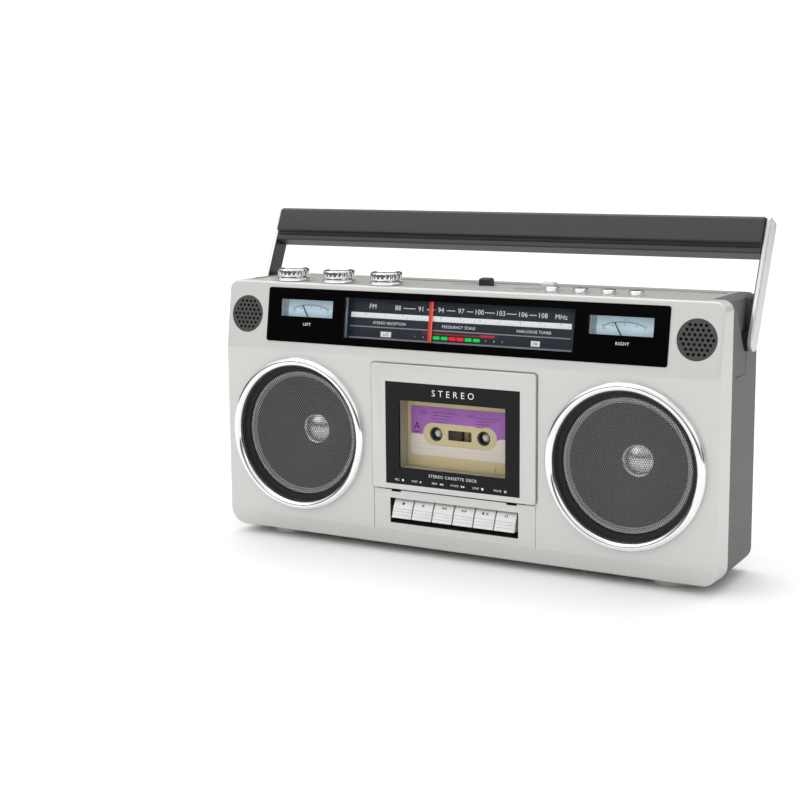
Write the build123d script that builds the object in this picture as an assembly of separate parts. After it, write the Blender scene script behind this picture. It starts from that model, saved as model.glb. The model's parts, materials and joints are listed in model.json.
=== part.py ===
from build123d import *
import os
from math import atan2, cos, degrees, hypot, radians, sin, sqrt

# Portable radio cassette recorder, in millimetres. While it is modelled, X runs to the right as seen
# from the front, Y runs back from the flat front panel and Z runs up from the table. At the end the
# whole model is moved along Y, so that its origin is under the middle of its box.

# ---------------------------------------------------------------- Driving dimensions
# Case
CASE_WIDTH = 431.0
CASE_TOP = 215.3
FOOT_HEIGHT = 7.0
FRONT_DEPTH = 24.0
REAR_DEPTH = 65.0
WALL = 2.5
BAND_WALL = 4.0
SIDE_DRAFT = 0.9
REAR_STEP = 0.5
REAR_TAPER = 2.3
PANEL_LOW = 20.2
PANEL_HIGH = 160.2
CHIN_SET = 3.5
BAND_SET = 8.5
CORNER_TOP_R = 8.0
CORNER_BOTTOM_R = 12.0
EDGE_ROUND = 1.5
FOOT_R = 14.0
FOOT_X = 172.0
FOOT_FRONT_Y = 28.0
FOOT_REAR_Y = 70.0
SCREW_R = 1.5
SCREW_HEAD_R = 3.0
SCREW_LENGTH = 18.0
SCREW_HEAD_HEIGHT = 2.4

# Speakers
SPEAKER_X = 144.0
SPEAKER_Z = 91.0
RING_R = 64.4
RING_INNER_R = 56.6
RING_PROUD = 5.4
GRILLE_THICK = 0.8
CONE_R = 48.0
CONE_DEPTH = 22.0
DUST_CAP_RISE = 4.0
CONE_TRAVEL = 1.0
MAGNET_R = 34.0
MAGNET_DEPTH = 18.0
COIL_R = 12.5
TWEETER_X = 196.3
TWEETER_Z = 188.0
TWEETER_R = 15.4
TWEETER_HOLE_R = 1.2
TWEETER_PITCH = 4.1

# Tuner window, dial and meters
WINDOW_HALF = 175.5
WINDOW_LOW = 167.0
WINDOW_HIGH = 210.9
WINDOW_THICK = 2.1
WINDOW_SEAT = 1.5
DIAL_HALF = 101.5
DIAL_LOW = 172.9
DIAL_HIGH = 205.7
DIAL_GAP = 3.0
METER_X = 137.8
METER_HALF = 26.2
METER_LOW = 187.2
METER_HIGH = 202.2
METER_DEPTH = 12.0
LAMP_FIRST = -19.0
LAMP_PITCH = 7.1
LAMP_HALF = 2.9
LAMP_Z = 177.6
NEEDLE_LENGTH = 15.0
NEEDLE_REST = 30.0
POINTER_X = -24.5
POINTER_WIDTH = 3.2

# Door, cassette and deck
DOOR_HALF = 72.5
DOOR_LOW = 54.3
DOOR_HIGH = 155.4
DOOR_THICK = 2.0
DOOR_GAP = 0.2
DOOR_GROOVE = 1.2
DOOR_GROOVE_DEPTH = 1.5
PANE_HALF = 59.5
PANE_LOW = 58.8
PANE_HIGH = 141.5
VIEW_HALF = 47.0
VIEW_LOW = 72.3
VIEW_HIGH = 127.0
HINGE_Y = 16.0
HINGE_Z = 50.0
HINGE_PIN_R = 2.0
LUG_X = 51.5
LUG_THICK = 6.6
TAPE_WIDTH = 100.4
TAPE_HEIGHT = 63.8
TAPE_THICK = 8.7
TAPE_WALL = 1.2
TAPE_RAISED = 0.7
TAPE_FRONT = 12.0
TAPE_LOW = 64.4
HUB_SPACING = 42.5
HUB_RISE = 34.8
HUB_R = 11.0
HUB_HOLE_R = 5.2
HUB_TEETH_R = 4.5
SUPPLY_PACK_R = 22.0
TAKE_UP_PACK_R = 14.5
SPINDLE_R = 2.9
SPINDLE_FIN_R = 3.9
CHASSIS_Y = 24.0
CHASSIS_THICK = 2.0
CAPSTAN_X = 23.0
CAPSTAN_RISE = 5.0
CAPSTAN_R = 1.0
FLYWHEEL_R = 24.0
FLYWHEEL_THICK = 7.0
MOTOR_X = -38.0
MOTOR_R = 15.0
MOTOR_LENGTH = 24.0
MOTOR_PLATE = 1.5
PULLEY_R = 5.0
BELT_THICK = 1.2
ROLLER_R = 6.0
HEAD_LIFT = 5.0
RUN_GAP = 0.06
PART_GAP = 0.4

# Piano keys
KEY_COUNT = 6
KEY_PITCH = 18.4
KEY_WIDTH = 17.3
KEY_WELL_HALF = 57.2
KEY_WELL_LOW = 25.9
KEY_WELL_HIGH = 46.4
KEY_AXLE_Y = 20.0
KEY_AXLE_Z = 33.0
KEY_AXLE_R = 1.5

# Controls on the top
TOP_PLATE = 1.6
TOP_HALF = 200.0
TOP_FRONT = 12.5
TOP_BACK = 85.0
KNOB_XS = {"volume_knob": -162.0, "tone_knob": -117.5, "tuning_knob": -72.5}
KNOB_Y = 23.5
KNOB_R = 13.6
KNOB_HEIGHT = 10.0
KNOB_SHAFT_R = 3.0
BUTTON_XS = {"loudness_button": 72.7, "stereo_button": 96.4, "mute_button": 119.1, "light_button": 141.3}
BUTTON_Y = 25.5
BUTTON_R = 5.8
BUTTON_HEIGHT = 3.8
BUTTON_TRAVEL = 1.5
BAND_SWITCH_X = 3.3
BAND_SWITCH_Y = 52.0
FUNCTION_SWITCH_X = 64.0
FUNCTION_SWITCH_Y = 39.0
SWITCH_TRAVEL = 20.0

# Telescopic aerial
AERIAL_X = 188.0
AERIAL_Y = 70.0
AERIAL_R = 3.0
AERIAL_BORE_R = 1.7
AERIAL_LENGTH = 160.0
AERIAL_DRAW = 125.0

# Carrying handle
PIVOT_Y = 60.0
PIVOT_Z = 182.0
PIVOT_R = 4.0
HANDLE_TILT = 24.3
ARM_INSIDE = CASE_WIDTH / 2 + 1.5
ARM_THICK = 4.0
ARM_WIDTH = 16.0
ARM_LENGTH = 95.0
BOSS_R = 7.0
RECESS_DEPTH = 3.0

# Power
CELL_R = 16.5
CELL_LENGTH = 60.0
CELL_COUNT = 4
BAY_GAP = 1.0
HATCH_THICK = 2.0
HATCH_PIN_R = 0.7
INLET_X = 172.0
SOCKET_Z = 34.0
JACK_XS = (-150.0, -166.0, -182.0)
JACK_HOLE_R = 4.5
JACK_BORE_R = 1.8

# ---------------------------------------------------------------- Sizes worked out from them
half_front = CASE_WIDTH / 2
half_part = half_front + SIDE_DRAFT
half_rear = half_part - REAR_STEP
case_back = FRONT_DEPTH + REAR_DEPTH
back_inside = case_back - WALL
top_inside = CASE_TOP - WALL
floor_inside = FOOT_HEIGHT + WALL
band_rise = CASE_TOP - PANEL_HIGH
band_length = hypot(BAND_SET, band_rise)
band_lean = degrees(atan2(BAND_SET, band_rise))
door_back = -DOOR_GAP
door_front = door_back - DOOR_THICK
tape_back = TAPE_FRONT + TAPE_THICK
tape_top = TAPE_LOW + TAPE_HEIGHT
hub_z = TAPE_LOW + HUB_RISE
hub_x = HUB_SPACING / 2
capstan_z = TAPE_LOW + CAPSTAN_RISE
roller_z = capstan_z - CAPSTAN_R - ROLLER_R - 0.8 - HEAD_LIFT
key_axle_x = KEY_WELL_HALF + 1.5
speaker_seat = WALL + PART_GAP
cone_front = speaker_seat + 3.0 + CONE_TRAVEL + PART_GAP
battery_y = back_inside - BAY_GAP - CELL_R - 2.0
battery_z = floor_inside + BAY_GAP + CELL_R
bay_half = CELL_COUNT * CELL_LENGTH / 2 + 2.0
hatch_half = bay_half - 4.0
hatch_low = floor_inside + 3.0
hatch_high = battery_z + CELL_R - 1.0
hatch_axis_y = case_back - HATCH_THICK / 2
hatch_axis_z = hatch_low + PART_GAP / 2 + HATCH_THICK / 2
aerial_z = CASE_TOP - AERIAL_R - 1.2
dial_back = -BAND_WALL * cos(radians(band_lean)) - 0.05
lug_slot_low = HINGE_Z + 1.7
holder_low = TAPE_LOW - 1.5
holder_half = TAPE_WIDTH / 2 + 2.0
holder_high = tape_top + 2.5
head_gap = TAPE_WIDTH / 3
deck_back = CHASSIS_Y + CHASSIS_THICK
wheel_back = deck_back + 5.0
fly_front = deck_back + 6.0
fly_back = fly_front + FLYWHEEL_THICK
motor_front = fly_back + 3.5
SCREW_PLACES = [(half_front - 10.5, 24.0), (half_front - 9.5, 166.0), (78.0, 160.0), (131.5, 20.0)]


# ---------------------------------------------------------------- Helpers
def block(x0, x1, y0, y1, z0, z1):
    """A box between two opposite corners."""
    return Pos((x0 + x1) / 2, (y0 + y1) / 2, (z0 + z1) / 2) * Box(x1 - x0, y1 - y0, z1 - z0)


def slab(sketch, y0, y1):
    """A front-view outline carried along the depth from y0 to y1."""
    return extrude(Plane.XZ.offset(-y1) * sketch, y1 - y0)


def prism(points, x0, x1):
    """A side-view outline of (depth, height) points carried across from x0 to x1."""
    return extrude(Plane.YZ.offset(x0) * make_face(Polyline(*points, close=True)), x1 - x0)


def rod_x(radius, x0, x1, y, z):
    return extrude(Plane.YZ.offset(x0) * Pos(y, z) * Circle(radius), x1 - x0)


def rod_y(radius, y0, y1, x, z):
    return slab(Pos(x, z) * Circle(radius), y0, y1)


def rod_z(radius, z0, z1, x, y):
    return extrude(Plane.XY.offset(z0) * Pos(x, y) * Circle(radius), z1 - z0)


def panel(x0, x1, z0, z1, radius=0.0):
    """A front-view rectangle between two corners, with rounded corners if asked."""
    shape = RectangleRounded(x1 - x0, z1 - z0, radius) if radius else Rectangle(x1 - x0, z1 - z0)
    return Pos((x0 + x1) / 2, (z0 + z1) / 2) * shape


def turned(points, x, z):
    """A ring turned about the front-to-back line at x, z, from (radius, depth) points."""
    profile = Plane.XY * make_face(Polyline(*points, close=True))
    return Pos(x, 0, z) * revolve(profile, Axis.Y)


def dome(radius, rise, seat, x, z):
    """A ball segment on a flat seat, crowned towards the front."""
    ball = (radius ** 2 + rise ** 2) / (2 * rise)
    half_way = seat + ball - rise - sqrt(ball ** 2 - radius ** 2 / 4)
    outline = make_face([
        Line((0, seat), (radius, seat)),
        ThreePointArc((radius, seat), (radius / 2, half_way), (0, seat - rise)),
        Line((0, seat - rise), (0, seat)),
    ])
    return Pos(x, 0, z) * revolve(outline, Axis.Y)


band_plane = Plane(
    origin=(0, 0, PANEL_HIGH),
    x_dir=(1, 0, 0),
    z_dir=(0, -cos(radians(band_lean)), sin(radians(band_lean))),
)


def up_band(height):
    """Distance up the leaning band from its lower crease, for a height above the table."""
    return (height - PANEL_HIGH) / cos(radians(band_lean))


def band_slab(sketch, t0, t1):
    """An outline on the leaning band carried outwards from t0 to t1."""
    return extrude(band_plane.offset(t0) * sketch, t1 - t0)


def rear_half_at(depth):
    """Half the width of the rear shell at a depth."""
    return half_rear - REAR_TAPER * (depth - FRONT_DEPTH) / REAR_DEPTH


def case_section(half_width, depth, inset=0.0):
    """The rounded front-view section of the case at a depth, moved in by inset on every side."""
    low = FOOT_HEIGHT + inset
    high = CASE_TOP - inset
    face = Pos(0, (low + high) / 2) * Rectangle(2 * (half_width - inset), high - low)
    face = fillet(face.vertices().sort_by(Axis.Y)[:2], CORNER_BOTTOM_R - inset)
    face = fillet(face.vertices().sort_by(Axis.Y)[-2:], CORNER_TOP_R - inset)
    return Plane.XZ.offset(-depth) * face


def both_sides(solid):
    return [solid, mirror(solid, Plane.YZ)]


def group(solids):
    """Separate solids kept side by side in one node."""
    return Compound(children=[solid for item in solids for solid in item.solids()])


pieces = {}


# ---------------------------------------------------------------- Case
def front_shell():
    outline = [
        (FRONT_DEPTH, FOOT_HEIGHT),
        (CHIN_SET, FOOT_HEIGHT),
        (0, PANEL_LOW),
        (0, PANEL_HIGH),
        (BAND_SET, CASE_TOP),
        (FRONT_DEPTH, CASE_TOP),
    ]
    hollow = [
        (FRONT_DEPTH + 1, FOOT_HEIGHT),
        (CHIN_SET + WALL, FOOT_HEIGHT),
        (WALL, PANEL_LOW),
        (WALL, PANEL_HIGH - WALL),
        (BAND_WALL, PANEL_HIGH),
        (BAND_SET + BAND_WALL, CASE_TOP),
        (FRONT_DEPTH + 1, CASE_TOP),
    ]
    outer = loft([case_section(half_front, 0), case_section(half_part, FRONT_DEPTH)], ruled=True)
    outer = outer & prism(outline, -half_part - 1, half_part + 1)
    rim = [edge for edge in outer.edges()
           if edge.center().Y < FRONT_DEPTH - 1 and abs(edge.center().X) > half_front - 1.5]
    outer = fillet(rim, EDGE_ROUND)
    inner = loft([case_section(half_front, 0, WALL), case_section(half_part, FRONT_DEPTH + 1, WALL)],
                 ruled=True)
    shell = outer - (inner & prism(hollow, -half_part, half_part))

    # Openings in the flat panel: speakers, door and keys
    for side in (-1, 1):
        shell -= rod_y(RING_INNER_R + 2.6, -1, WALL + 1, side * SPEAKER_X, SPEAKER_Z)
        shell -= slab(panel(side * LUG_X - LUG_THICK / 2 - 1.2, side * LUG_X + LUG_THICK / 2 + 1.2,
                            lug_slot_low, DOOR_LOW + 2), -1, WALL + 1)
    shell -= slab(panel(-DOOR_HALF + 6.5, DOOR_HALF - 6.5, DOOR_LOW + 1.2, DOOR_HIGH - 5.4), -1, WALL + 1)
    shell -= slab(panel(-KEY_WELL_HALF, KEY_WELL_HALF, KEY_WELL_LOW, KEY_WELL_HIGH), -1, WALL + 1)

    out = DOOR_GROOVE
    groove = slab(panel(-DOOR_HALF - out, DOOR_HALF + out, DOOR_LOW - out, DOOR_HIGH + out, 3.5),
                  -1, DOOR_GROOVE_DEPTH)
    shell -= groove - slab(panel(-DOOR_HALF + out, DOOR_HALF - out, DOOR_LOW + out, DOOR_HIGH - out, 2),
                           -2, WALL)

    # Leaning band: seat for the window, openings behind it, tweeter holes
    low, high = up_band(WINDOW_LOW), up_band(WINDOW_HIGH)
    shell -= band_slab(panel(-WINDOW_HALF, WINDOW_HALF, low, high, 2), -WINDOW_SEAT, 3)
    shell -= band_slab(panel(-DIAL_HALF, DIAL_HALF, up_band(DIAL_LOW), up_band(DIAL_HIGH)), -8, 3)
    for side in (-1, 1):
        shell -= band_slab(panel(side * METER_X - METER_HALF, side * METER_X + METER_HALF,
                                 up_band(METER_LOW), up_band(METER_HIGH)), -8, 3)
        shell -= band_slab(Pos(side * TWEETER_X, up_band(TWEETER_Z)) * Circle(TWEETER_R), -8, 3)

    # Fine joints either side of the centre panel
    for side in (-1, 1):
        seam = side * (DOOR_HALF - 0.5)
        shell -= slab(panel(seam - 0.35, seam + 0.35, FOOT_HEIGHT + 9, DOOR_LOW - 0.5), -1, 0.5)
    shell -= top_seat()

    # Key well: two side walls and a floor, and the door's hinge brackets with their pins
    for side in (-1, 1):
        shell += block(*sorted((side * KEY_WELL_HALF, side * key_axle_x)), WALL - 0.1, FRONT_DEPTH - 1,
                       KEY_WELL_LOW - 1.5, KEY_WELL_HIGH)
        bracket = sorted((side * (LUG_X + LUG_THICK / 2 + 2), side * (LUG_X + LUG_THICK / 2 + 5)))
        shell += block(*bracket, WALL - 0.1, HINGE_Y + 4.5, KEY_WELL_HIGH - 1, HINGE_Z + 4.5)
        pin = sorted((side * (LUG_X - LUG_THICK / 2 - 0.5), side * (LUG_X + LUG_THICK / 2 + 3)))
        shell += rod_x(HINGE_PIN_R, *pin, HINGE_Y, HINGE_Z)
    shell += block(-key_axle_x, key_axle_x, WALL - 0.1, FRONT_DEPTH - 1, KEY_WELL_LOW - 1.5, KEY_WELL_LOW)
    shell -= rod_x(KEY_AXLE_R, -key_axle_x + 0.5, key_axle_x - 0.5, KEY_AXLE_Y, KEY_AXLE_Z)

    # Posts for the deck and for the case screws
    for x in (-DOOR_HALF + 3, DOOR_HALF - 3):
        for z in (HINGE_Z + 10, DOOR_HIGH - 8):
            shell += rod_y(3.0, WALL - 0.1, CHASSIS_Y, x, z)
    for x, z in SCREW_PLACES:
        for side in (-1, 1):
            front = WALL - 0.1 if z < PANEL_HIGH - 1 else BAND_WALL - 0.1
            post = rod_y(4.0, front, FRONT_DEPTH, side * x, z)
            shell += post - rod_y(SCREW_R, FRONT_DEPTH - SCREW_LENGTH / 2 - 1, FRONT_DEPTH, side * x, z)
    return shell


def top_seat():
    """The stepped opening in the case top that the top panel drops into."""
    step = block(-TOP_HALF, TOP_HALF, TOP_FRONT, TOP_BACK, CASE_TOP - TOP_PLATE, CASE_TOP + 1)
    ledge = 2.5
    well = block(-TOP_HALF + ledge, TOP_HALF - ledge, TOP_FRONT + ledge, TOP_BACK - ledge,
                 top_inside - 1, CASE_TOP + 1)
    return step + well


def handle_recess():
    """The fan-shaped hollow that the handle's boss turns in, on the right side."""
    outline = make_hull(
        (Pos(PIVOT_Y, PIVOT_Z) * Circle(BOSS_R + 1.2)).edges()
        + (Pos(33, CASE_TOP - 5) * Circle(3)).edges()
        + (Pos(65, CASE_TOP - 5) * Circle(3)).edges()
    )
    floor = rear_half_at(PIVOT_Y) - RECESS_DEPTH
    return extrude(Plane.YZ.offset(floor) * outline, 12)


def rear_shell():
    outer = loft([case_section(half_rear, FRONT_DEPTH),
                  case_section(half_rear - REAR_TAPER, case_back)], ruled=True)
    back_edges = [edge for edge in outer.edges() if edge.center().Y > case_back - 0.01]
    outer = fillet(back_edges, 2.0)
    inner = loft([case_section(half_rear, FRONT_DEPTH, WALL),
                  case_section(rear_half_at(back_inside), back_inside, WALL)], ruled=True)
    shell = outer - inner - top_seat()

    # Handle recess on both sides, its backing and the pivot stub
    floor = rear_half_at(PIVOT_Y) - RECESS_DEPTH
    backing = block(floor - WALL, half_rear, FRONT_DEPTH + 4, PIVOT_Y + BOSS_R + 5,
                    PIVOT_Z - BOSS_R - 4, top_inside + 0.5) & outer
    hollow = handle_recess()
    stub = rod_x(PIVOT_R, floor - 0.5, ARM_INSIDE + 1.2, PIVOT_Y, PIVOT_Z)
    frame = block(rear_half_at(46) - 0.7, half_rear + 1, 34, 60, 157, 172)
    for part, how in ((backing, 1), (hollow, -1), (stub, 1), (frame, -1)):
        for side in both_sides(part):
            shell = shell + side if how > 0 else shell - side

    # Battery bay, its opening and the hatch's pivot holes
    bay_front = battery_y - CELL_R - BAY_GAP
    bay_top = battery_z + CELL_R + BAY_GAP
    shell += block(-bay_half - WALL, bay_half + WALL, bay_front - WALL, bay_front,
                   FOOT_HEIGHT + 1, bay_top + WALL)
    shell += block(-bay_half - WALL, bay_half + WALL, bay_front - WALL, back_inside + 1,
                   bay_top, bay_top + WALL)
    for side in (-1, 1):
        shell += block(*sorted((side * bay_half, side * (bay_half + WALL))), bay_front - WALL,
                       back_inside + 1, FOOT_HEIGHT + 1, bay_top + WALL)
    shell -= block(-hatch_half, hatch_half, back_inside - 1, case_back + 1, hatch_low, hatch_high)
    shell -= rod_x(HATCH_PIN_R + RUN_GAP, -hatch_half - 2.5, hatch_half + 2.5, hatch_axis_y, hatch_axis_z)

    # Posts for the case screws, open to the back
    for x, z in SCREW_PLACES:
        for side in (-1, 1):
            shell += rod_y(SCREW_HEAD_R + 2.2, FRONT_DEPTH, back_inside + 0.5, side * x, z)
    for x, z in SCREW_PLACES:
        for side in (-1, 1):
            shell -= rod_y(SCREW_HEAD_R + 0.4, FRONT_DEPTH + SCREW_LENGTH / 2, case_back + 1, side * x, z)
            shell -= rod_y(SCREW_R + 0.1, FRONT_DEPTH - 1, case_back, side * x, z)

    # Sockets at the back, and cooling slots over the power unit
    shell -= slab(panel(INLET_X - 12, INLET_X + 12, SOCKET_Z - 8.5, SOCKET_Z + 8.5, 3),
                  back_inside - 1, case_back + 1)
    for x in JACK_XS:
        shell -= rod_y(JACK_HOLE_R, back_inside - 1, case_back + 1, x, SOCKET_Z)
    for number in range(7):
        z = 64 + 4.5 * number
        shell -= slab(panel(INLET_X - 25, INLET_X + 5, z, z + 2, 0.9), back_inside - 1, case_back + 1)
    return shell


def battery_hatch():
    """The bay's lid: a plate whose lower edge is rounded about its pivot, with a pin at each end."""
    half = hatch_half - PART_GAP / 2
    back = case_back
    plate = block(-half, half, back - HATCH_THICK, back, hatch_axis_z, hatch_high - PART_GAP / 2)
    plate += rod_x(HATCH_THICK / 2, -half, half, hatch_axis_y, hatch_axis_z)
    plate += rod_x(HATCH_PIN_R, -half - 2.2, half + 2.2, hatch_axis_y, hatch_axis_z)
    for number in range(5):
        z = hatch_high - 4 - 2.2 * number
        plate -= block(-12, 12, back - 0.6, back + 1, z, z + 1)
    return plate


def rubber_feet():
    feet = []
    for x in (-FOOT_X, FOOT_X):
        for y in (FOOT_FRONT_Y, FOOT_REAR_Y):
            foot = rod_z(FOOT_R, 0, FOOT_HEIGHT, x, y)
            feet.append(fillet(foot.edges().group_by(Axis.Z)[0], 1.5))
    return group(feet)


def case_screws():
    screws = []
    for x, z in SCREW_PLACES:
        for side in (-1, 1):
            seat = FRONT_DEPTH + SCREW_LENGTH / 2
            head = rod_y(SCREW_HEAD_R, seat, seat + SCREW_HEAD_HEIGHT, side * x, z)
            head -= block(side * x - 2, side * x + 2, seat + 1, seat + 5, z - 0.4, z + 0.4)
            head -= block(side * x - 0.4, side * x + 0.4, seat + 1, seat + 5, z - 2, z + 2)
            screws.append(head + rod_y(SCREW_R, seat - SCREW_LENGTH, seat + 0.5, side * x, z))
    return group(screws)


def top_panel():
    plate = block(-TOP_HALF, TOP_HALF, TOP_FRONT, TOP_BACK, CASE_TOP - TOP_PLATE, CASE_TOP)
    for x in KNOB_XS.values():
        plate -= rod_z(KNOB_SHAFT_R + 1, CASE_TOP - 5, CASE_TOP + 1, x, KNOB_Y)
    for x in BUTTON_XS.values():
        plate -= rod_z(BUTTON_R + 0.2, CASE_TOP - 5, CASE_TOP + 1, x, BUTTON_Y)
    for x, y in ((BAND_SWITCH_X, BAND_SWITCH_Y), (FUNCTION_SWITCH_X, FUNCTION_SWITCH_Y)):
        plate -= block(x - SWITCH_TRAVEL - 4, x + 4, y - 1.5, y + 1.5, CASE_TOP - 5, CASE_TOP + 1)
        plate -= block(x - SWITCH_TRAVEL - 9, x + 9, y - 4.5, y + 4.5, CASE_TOP - 0.6, CASE_TOP + 1)

    # Trough for the folded aerial, with the ears and the pin that it turns on
    left = AERIAL_X - AERIAL_LENGTH - AERIAL_DRAW - 12
    right = AERIAL_X + 8
    floor = aerial_z - AERIAL_R - 1.0
    plate += block(left - 1.5, right + 1.5, AERIAL_Y - 5.5, AERIAL_Y + 5.5, floor - 1.5, CASE_TOP - 0.5)
    plate -= block(left, right, AERIAL_Y - 4, AERIAL_Y + 4, floor, CASE_TOP + 1)
    for y in (AERIAL_Y - 2.8, AERIAL_Y + 2.8):
        plate += block(AERIAL_X - 2.5, AERIAL_X + 2.5, y - 1.2, y + 1.2, floor - 0.5, aerial_z)
        plate += rod_y(2.5, y - 1.2, y + 1.2, AERIAL_X, aerial_z)
    plate += rod_y(1.4, AERIAL_Y - 3, AERIAL_Y + 3, AERIAL_X, aerial_z)
    return plate


def aerial():
    """The outer tube with its knuckle, and the inner rod with its tip."""
    end = AERIAL_X - AERIAL_LENGTH
    tube = rod_x(AERIAL_R, end, AERIAL_X - 3.2, AERIAL_Y, aerial_z)
    tube += block(AERIAL_X - 4, AERIAL_X, AERIAL_Y - 1.4, AERIAL_Y + 1.4, aerial_z - 2.3, aerial_z + 2.3)
    tube += rod_y(2.3, AERIAL_Y - 1.4, AERIAL_Y + 1.4, AERIAL_X, aerial_z)
    tube -= rod_y(1.4 + RUN_GAP, AERIAL_Y - 4, AERIAL_Y + 4, AERIAL_X, aerial_z)
    tube -= rod_x(AERIAL_BORE_R, end - 1, AERIAL_X - 12, AERIAL_Y, aerial_z)
    rod = rod_x(AERIAL_BORE_R - RUN_GAP, end - 1.5, AERIAL_X - 14, AERIAL_Y, aerial_z)
    tip = rod_x(AERIAL_R - 0.2, end - 6, end - 1, AERIAL_Y, aerial_z)
    rod += fillet(tip.edges(), 1.0)
    return tube, rod


# ---------------------------------------------------------------- Speakers
def speaker_ring(x):
    """A rounded chrome ring with a spigot that centres it in the panel."""
    spigot = RING_INNER_R + 2.5
    middle = (RING_INNER_R + RING_R) / 2
    outline = make_face([
        Polyline((RING_R, 0), (spigot, 0), (spigot, WALL - 0.6), (RING_INNER_R + 0.6, WALL - 0.6),
                 (RING_INNER_R, -1.6)),
        ThreePointArc((RING_INNER_R, -1.6), (middle - 0.4, -RING_PROUD), (RING_R - 0.5, -1.6)),
        Line((RING_R - 0.5, -1.6), (RING_R, 0)),
    ])
    return Pos(x, 0, SPEAKER_Z) * revolve(outline, Axis.Y)


def speaker_grille(x):
    """The perforated disc behind the ring, here as a plain disc with a slight crown."""
    seat = WALL - 0.6
    edge = RING_INNER_R + 2.4
    crown = 1.2
    return turned([(0, seat - crown), (edge * 0.6, seat - crown * 0.6), (edge - 2, seat), (edge, seat),
                   (edge, seat + GRILLE_THICK), (edge - 2, seat + GRILLE_THICK),
                   (edge * 0.6, seat + GRILLE_THICK - crown * 0.6), (0, seat + GRILLE_THICK - crown)],
                  x, SPEAKER_Z)


def speaker_frame(x):
    """A pressed basket with six windows, and the magnet with its pole and coil gap."""
    edge = RING_INNER_R + 5.4
    mouth = CONE_R + 4.5
    seat = speaker_seat
    waist = seat + CONE_DEPTH + 12
    basket = turned([(edge, seat), (edge, seat + 1.6), (mouth + 2, seat + 1.6), (mouth + 1.6, seat + 8),
                     (MAGNET_R - 2, waist), (COIL_R + 2, waist), (COIL_R + 2, waist - 1.6),
                     (MAGNET_R - 2.4, waist - 1.6), (mouth, seat + 7.5), (mouth, seat)], x, SPEAKER_Z)
    for number in range(6):
        window = block(-8, 8, seat + 11, waist - 4, 20, 60)
        basket -= Pos(x, 0, SPEAKER_Z) * Rot(0, 60 * number, 0) * window
    back = waist + MAGNET_DEPTH
    magnet = turned([(MAGNET_R, waist), (MAGNET_R, back - 3), (MAGNET_R - 3, back), (0, back),
                     (0, waist - 6), (COIL_R - 2, waist - 6), (COIL_R - 2, back - 5), (COIL_R + 2, back - 5),
                     (COIL_R + 2, waist)], x, SPEAKER_Z)
    return basket + magnet


def woofer_cone(x):
    """The paper cone with its roll surround, dust cap and coil tube, all moving together."""
    front = cone_front
    deep = front + CONE_DEPTH
    roll = CONE_R + 4.0
    crest = front - 3.0
    cone = turned([(roll, front), (roll, front - 1), (roll - 1, crest), (CONE_R + 0.8, crest),
                   (CONE_R - 0.5, front - 1), (COIL_R - 0.8, deep - 2.4), (COIL_R - 0.8, deep + 12),
                   (COIL_R, deep + 12), (COIL_R, deep - 0.6), (CONE_R - 0.5, front + 0.4),
                   (CONE_R + 1.5, crest + 1.2), (roll - 1.6, crest + 1.2)], x, SPEAKER_Z)
    return cone + dome(COIL_R - 0.4, DUST_CAP_RISE, deep - 1.6, x, SPEAKER_Z)


def tweeter_holes():
    """Places of the 37 holes: rows of 4, 5, 6, 7, 6, 5 and 4 on a triangular pitch."""
    places = []
    for row in range(-3, 4):
        count = 7 - abs(row)
        for number in range(count):
            places.append(((number - (count - 1) / 2) * TWEETER_PITCH, row * TWEETER_PITCH * 0.866))
    return places


def tweeter_grille(x):
    centre = Pos(x, up_band(TWEETER_Z))
    disc = band_slab(centre * Circle(TWEETER_R), -2.2, -0.4)
    holes = Sketch() + [Pos(px, pz) * Circle(TWEETER_HOLE_R) for px, pz in tweeter_holes()]
    return disc - band_slab(centre * holes, -4, 1)


def tweeter(x):
    centre = Pos(x, up_band(TWEETER_Z))
    seat = -BAND_WALL * cos(radians(band_lean)) - 0.05
    body = band_slab(centre * Circle(TWEETER_R + 1), seat - 3, seat)
    body += band_slab(centre * Circle(TWEETER_R - 3), seat - 13, seat - 2)
    return body - band_slab(centre * Circle(TWEETER_R - 5), seat - 1.5, seat + 1)


# ---------------------------------------------------------------- Window, dial and meters
def tuner_window():
    low, high = up_band(WINDOW_LOW) + 0.1, up_band(WINDOW_HIGH) - 0.1
    half = WINDOW_HALF - 0.1
    return band_slab(panel(-half, half, low, high, 2), -WINDOW_SEAT, WINDOW_THICK - WINDOW_SEAT)


def dial_plate():
    """The printed dial and its white light box, with the rail that the pointer runs on."""
    low, high = up_band(DIAL_LOW) - 3, up_band(DIAL_HIGH) + 2
    face = dial_back - DIAL_GAP
    plate = band_slab(panel(-DIAL_HALF - 3, DIAL_HALF + 3, low, high), face - 1.5, face)
    for side in (-1, 1):
        edge = sorted((side * (DIAL_HALF + 0.5), side * (DIAL_HALF + 3)))
        plate += band_slab(panel(*edge, low, high), face - 1.5, dial_back)
    rail = high + 1.6
    for side in (-1, 1):
        edge = sorted((side * (DIAL_HALF + 0.5), side * (DIAL_HALF + 3)))
        plate += band_slab(panel(*edge, high - 1, rail + 1.5), face - 3, dial_back)
    plate += band_plane * Pos(-DIAL_HALF - 2, rail, face - 1.5) * Rot(0, 90, 0) * Cylinder(
        0.8, 2 * DIAL_HALF + 4, align=(Align.CENTER, Align.CENTER, Align.MIN))
    return plate


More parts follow.
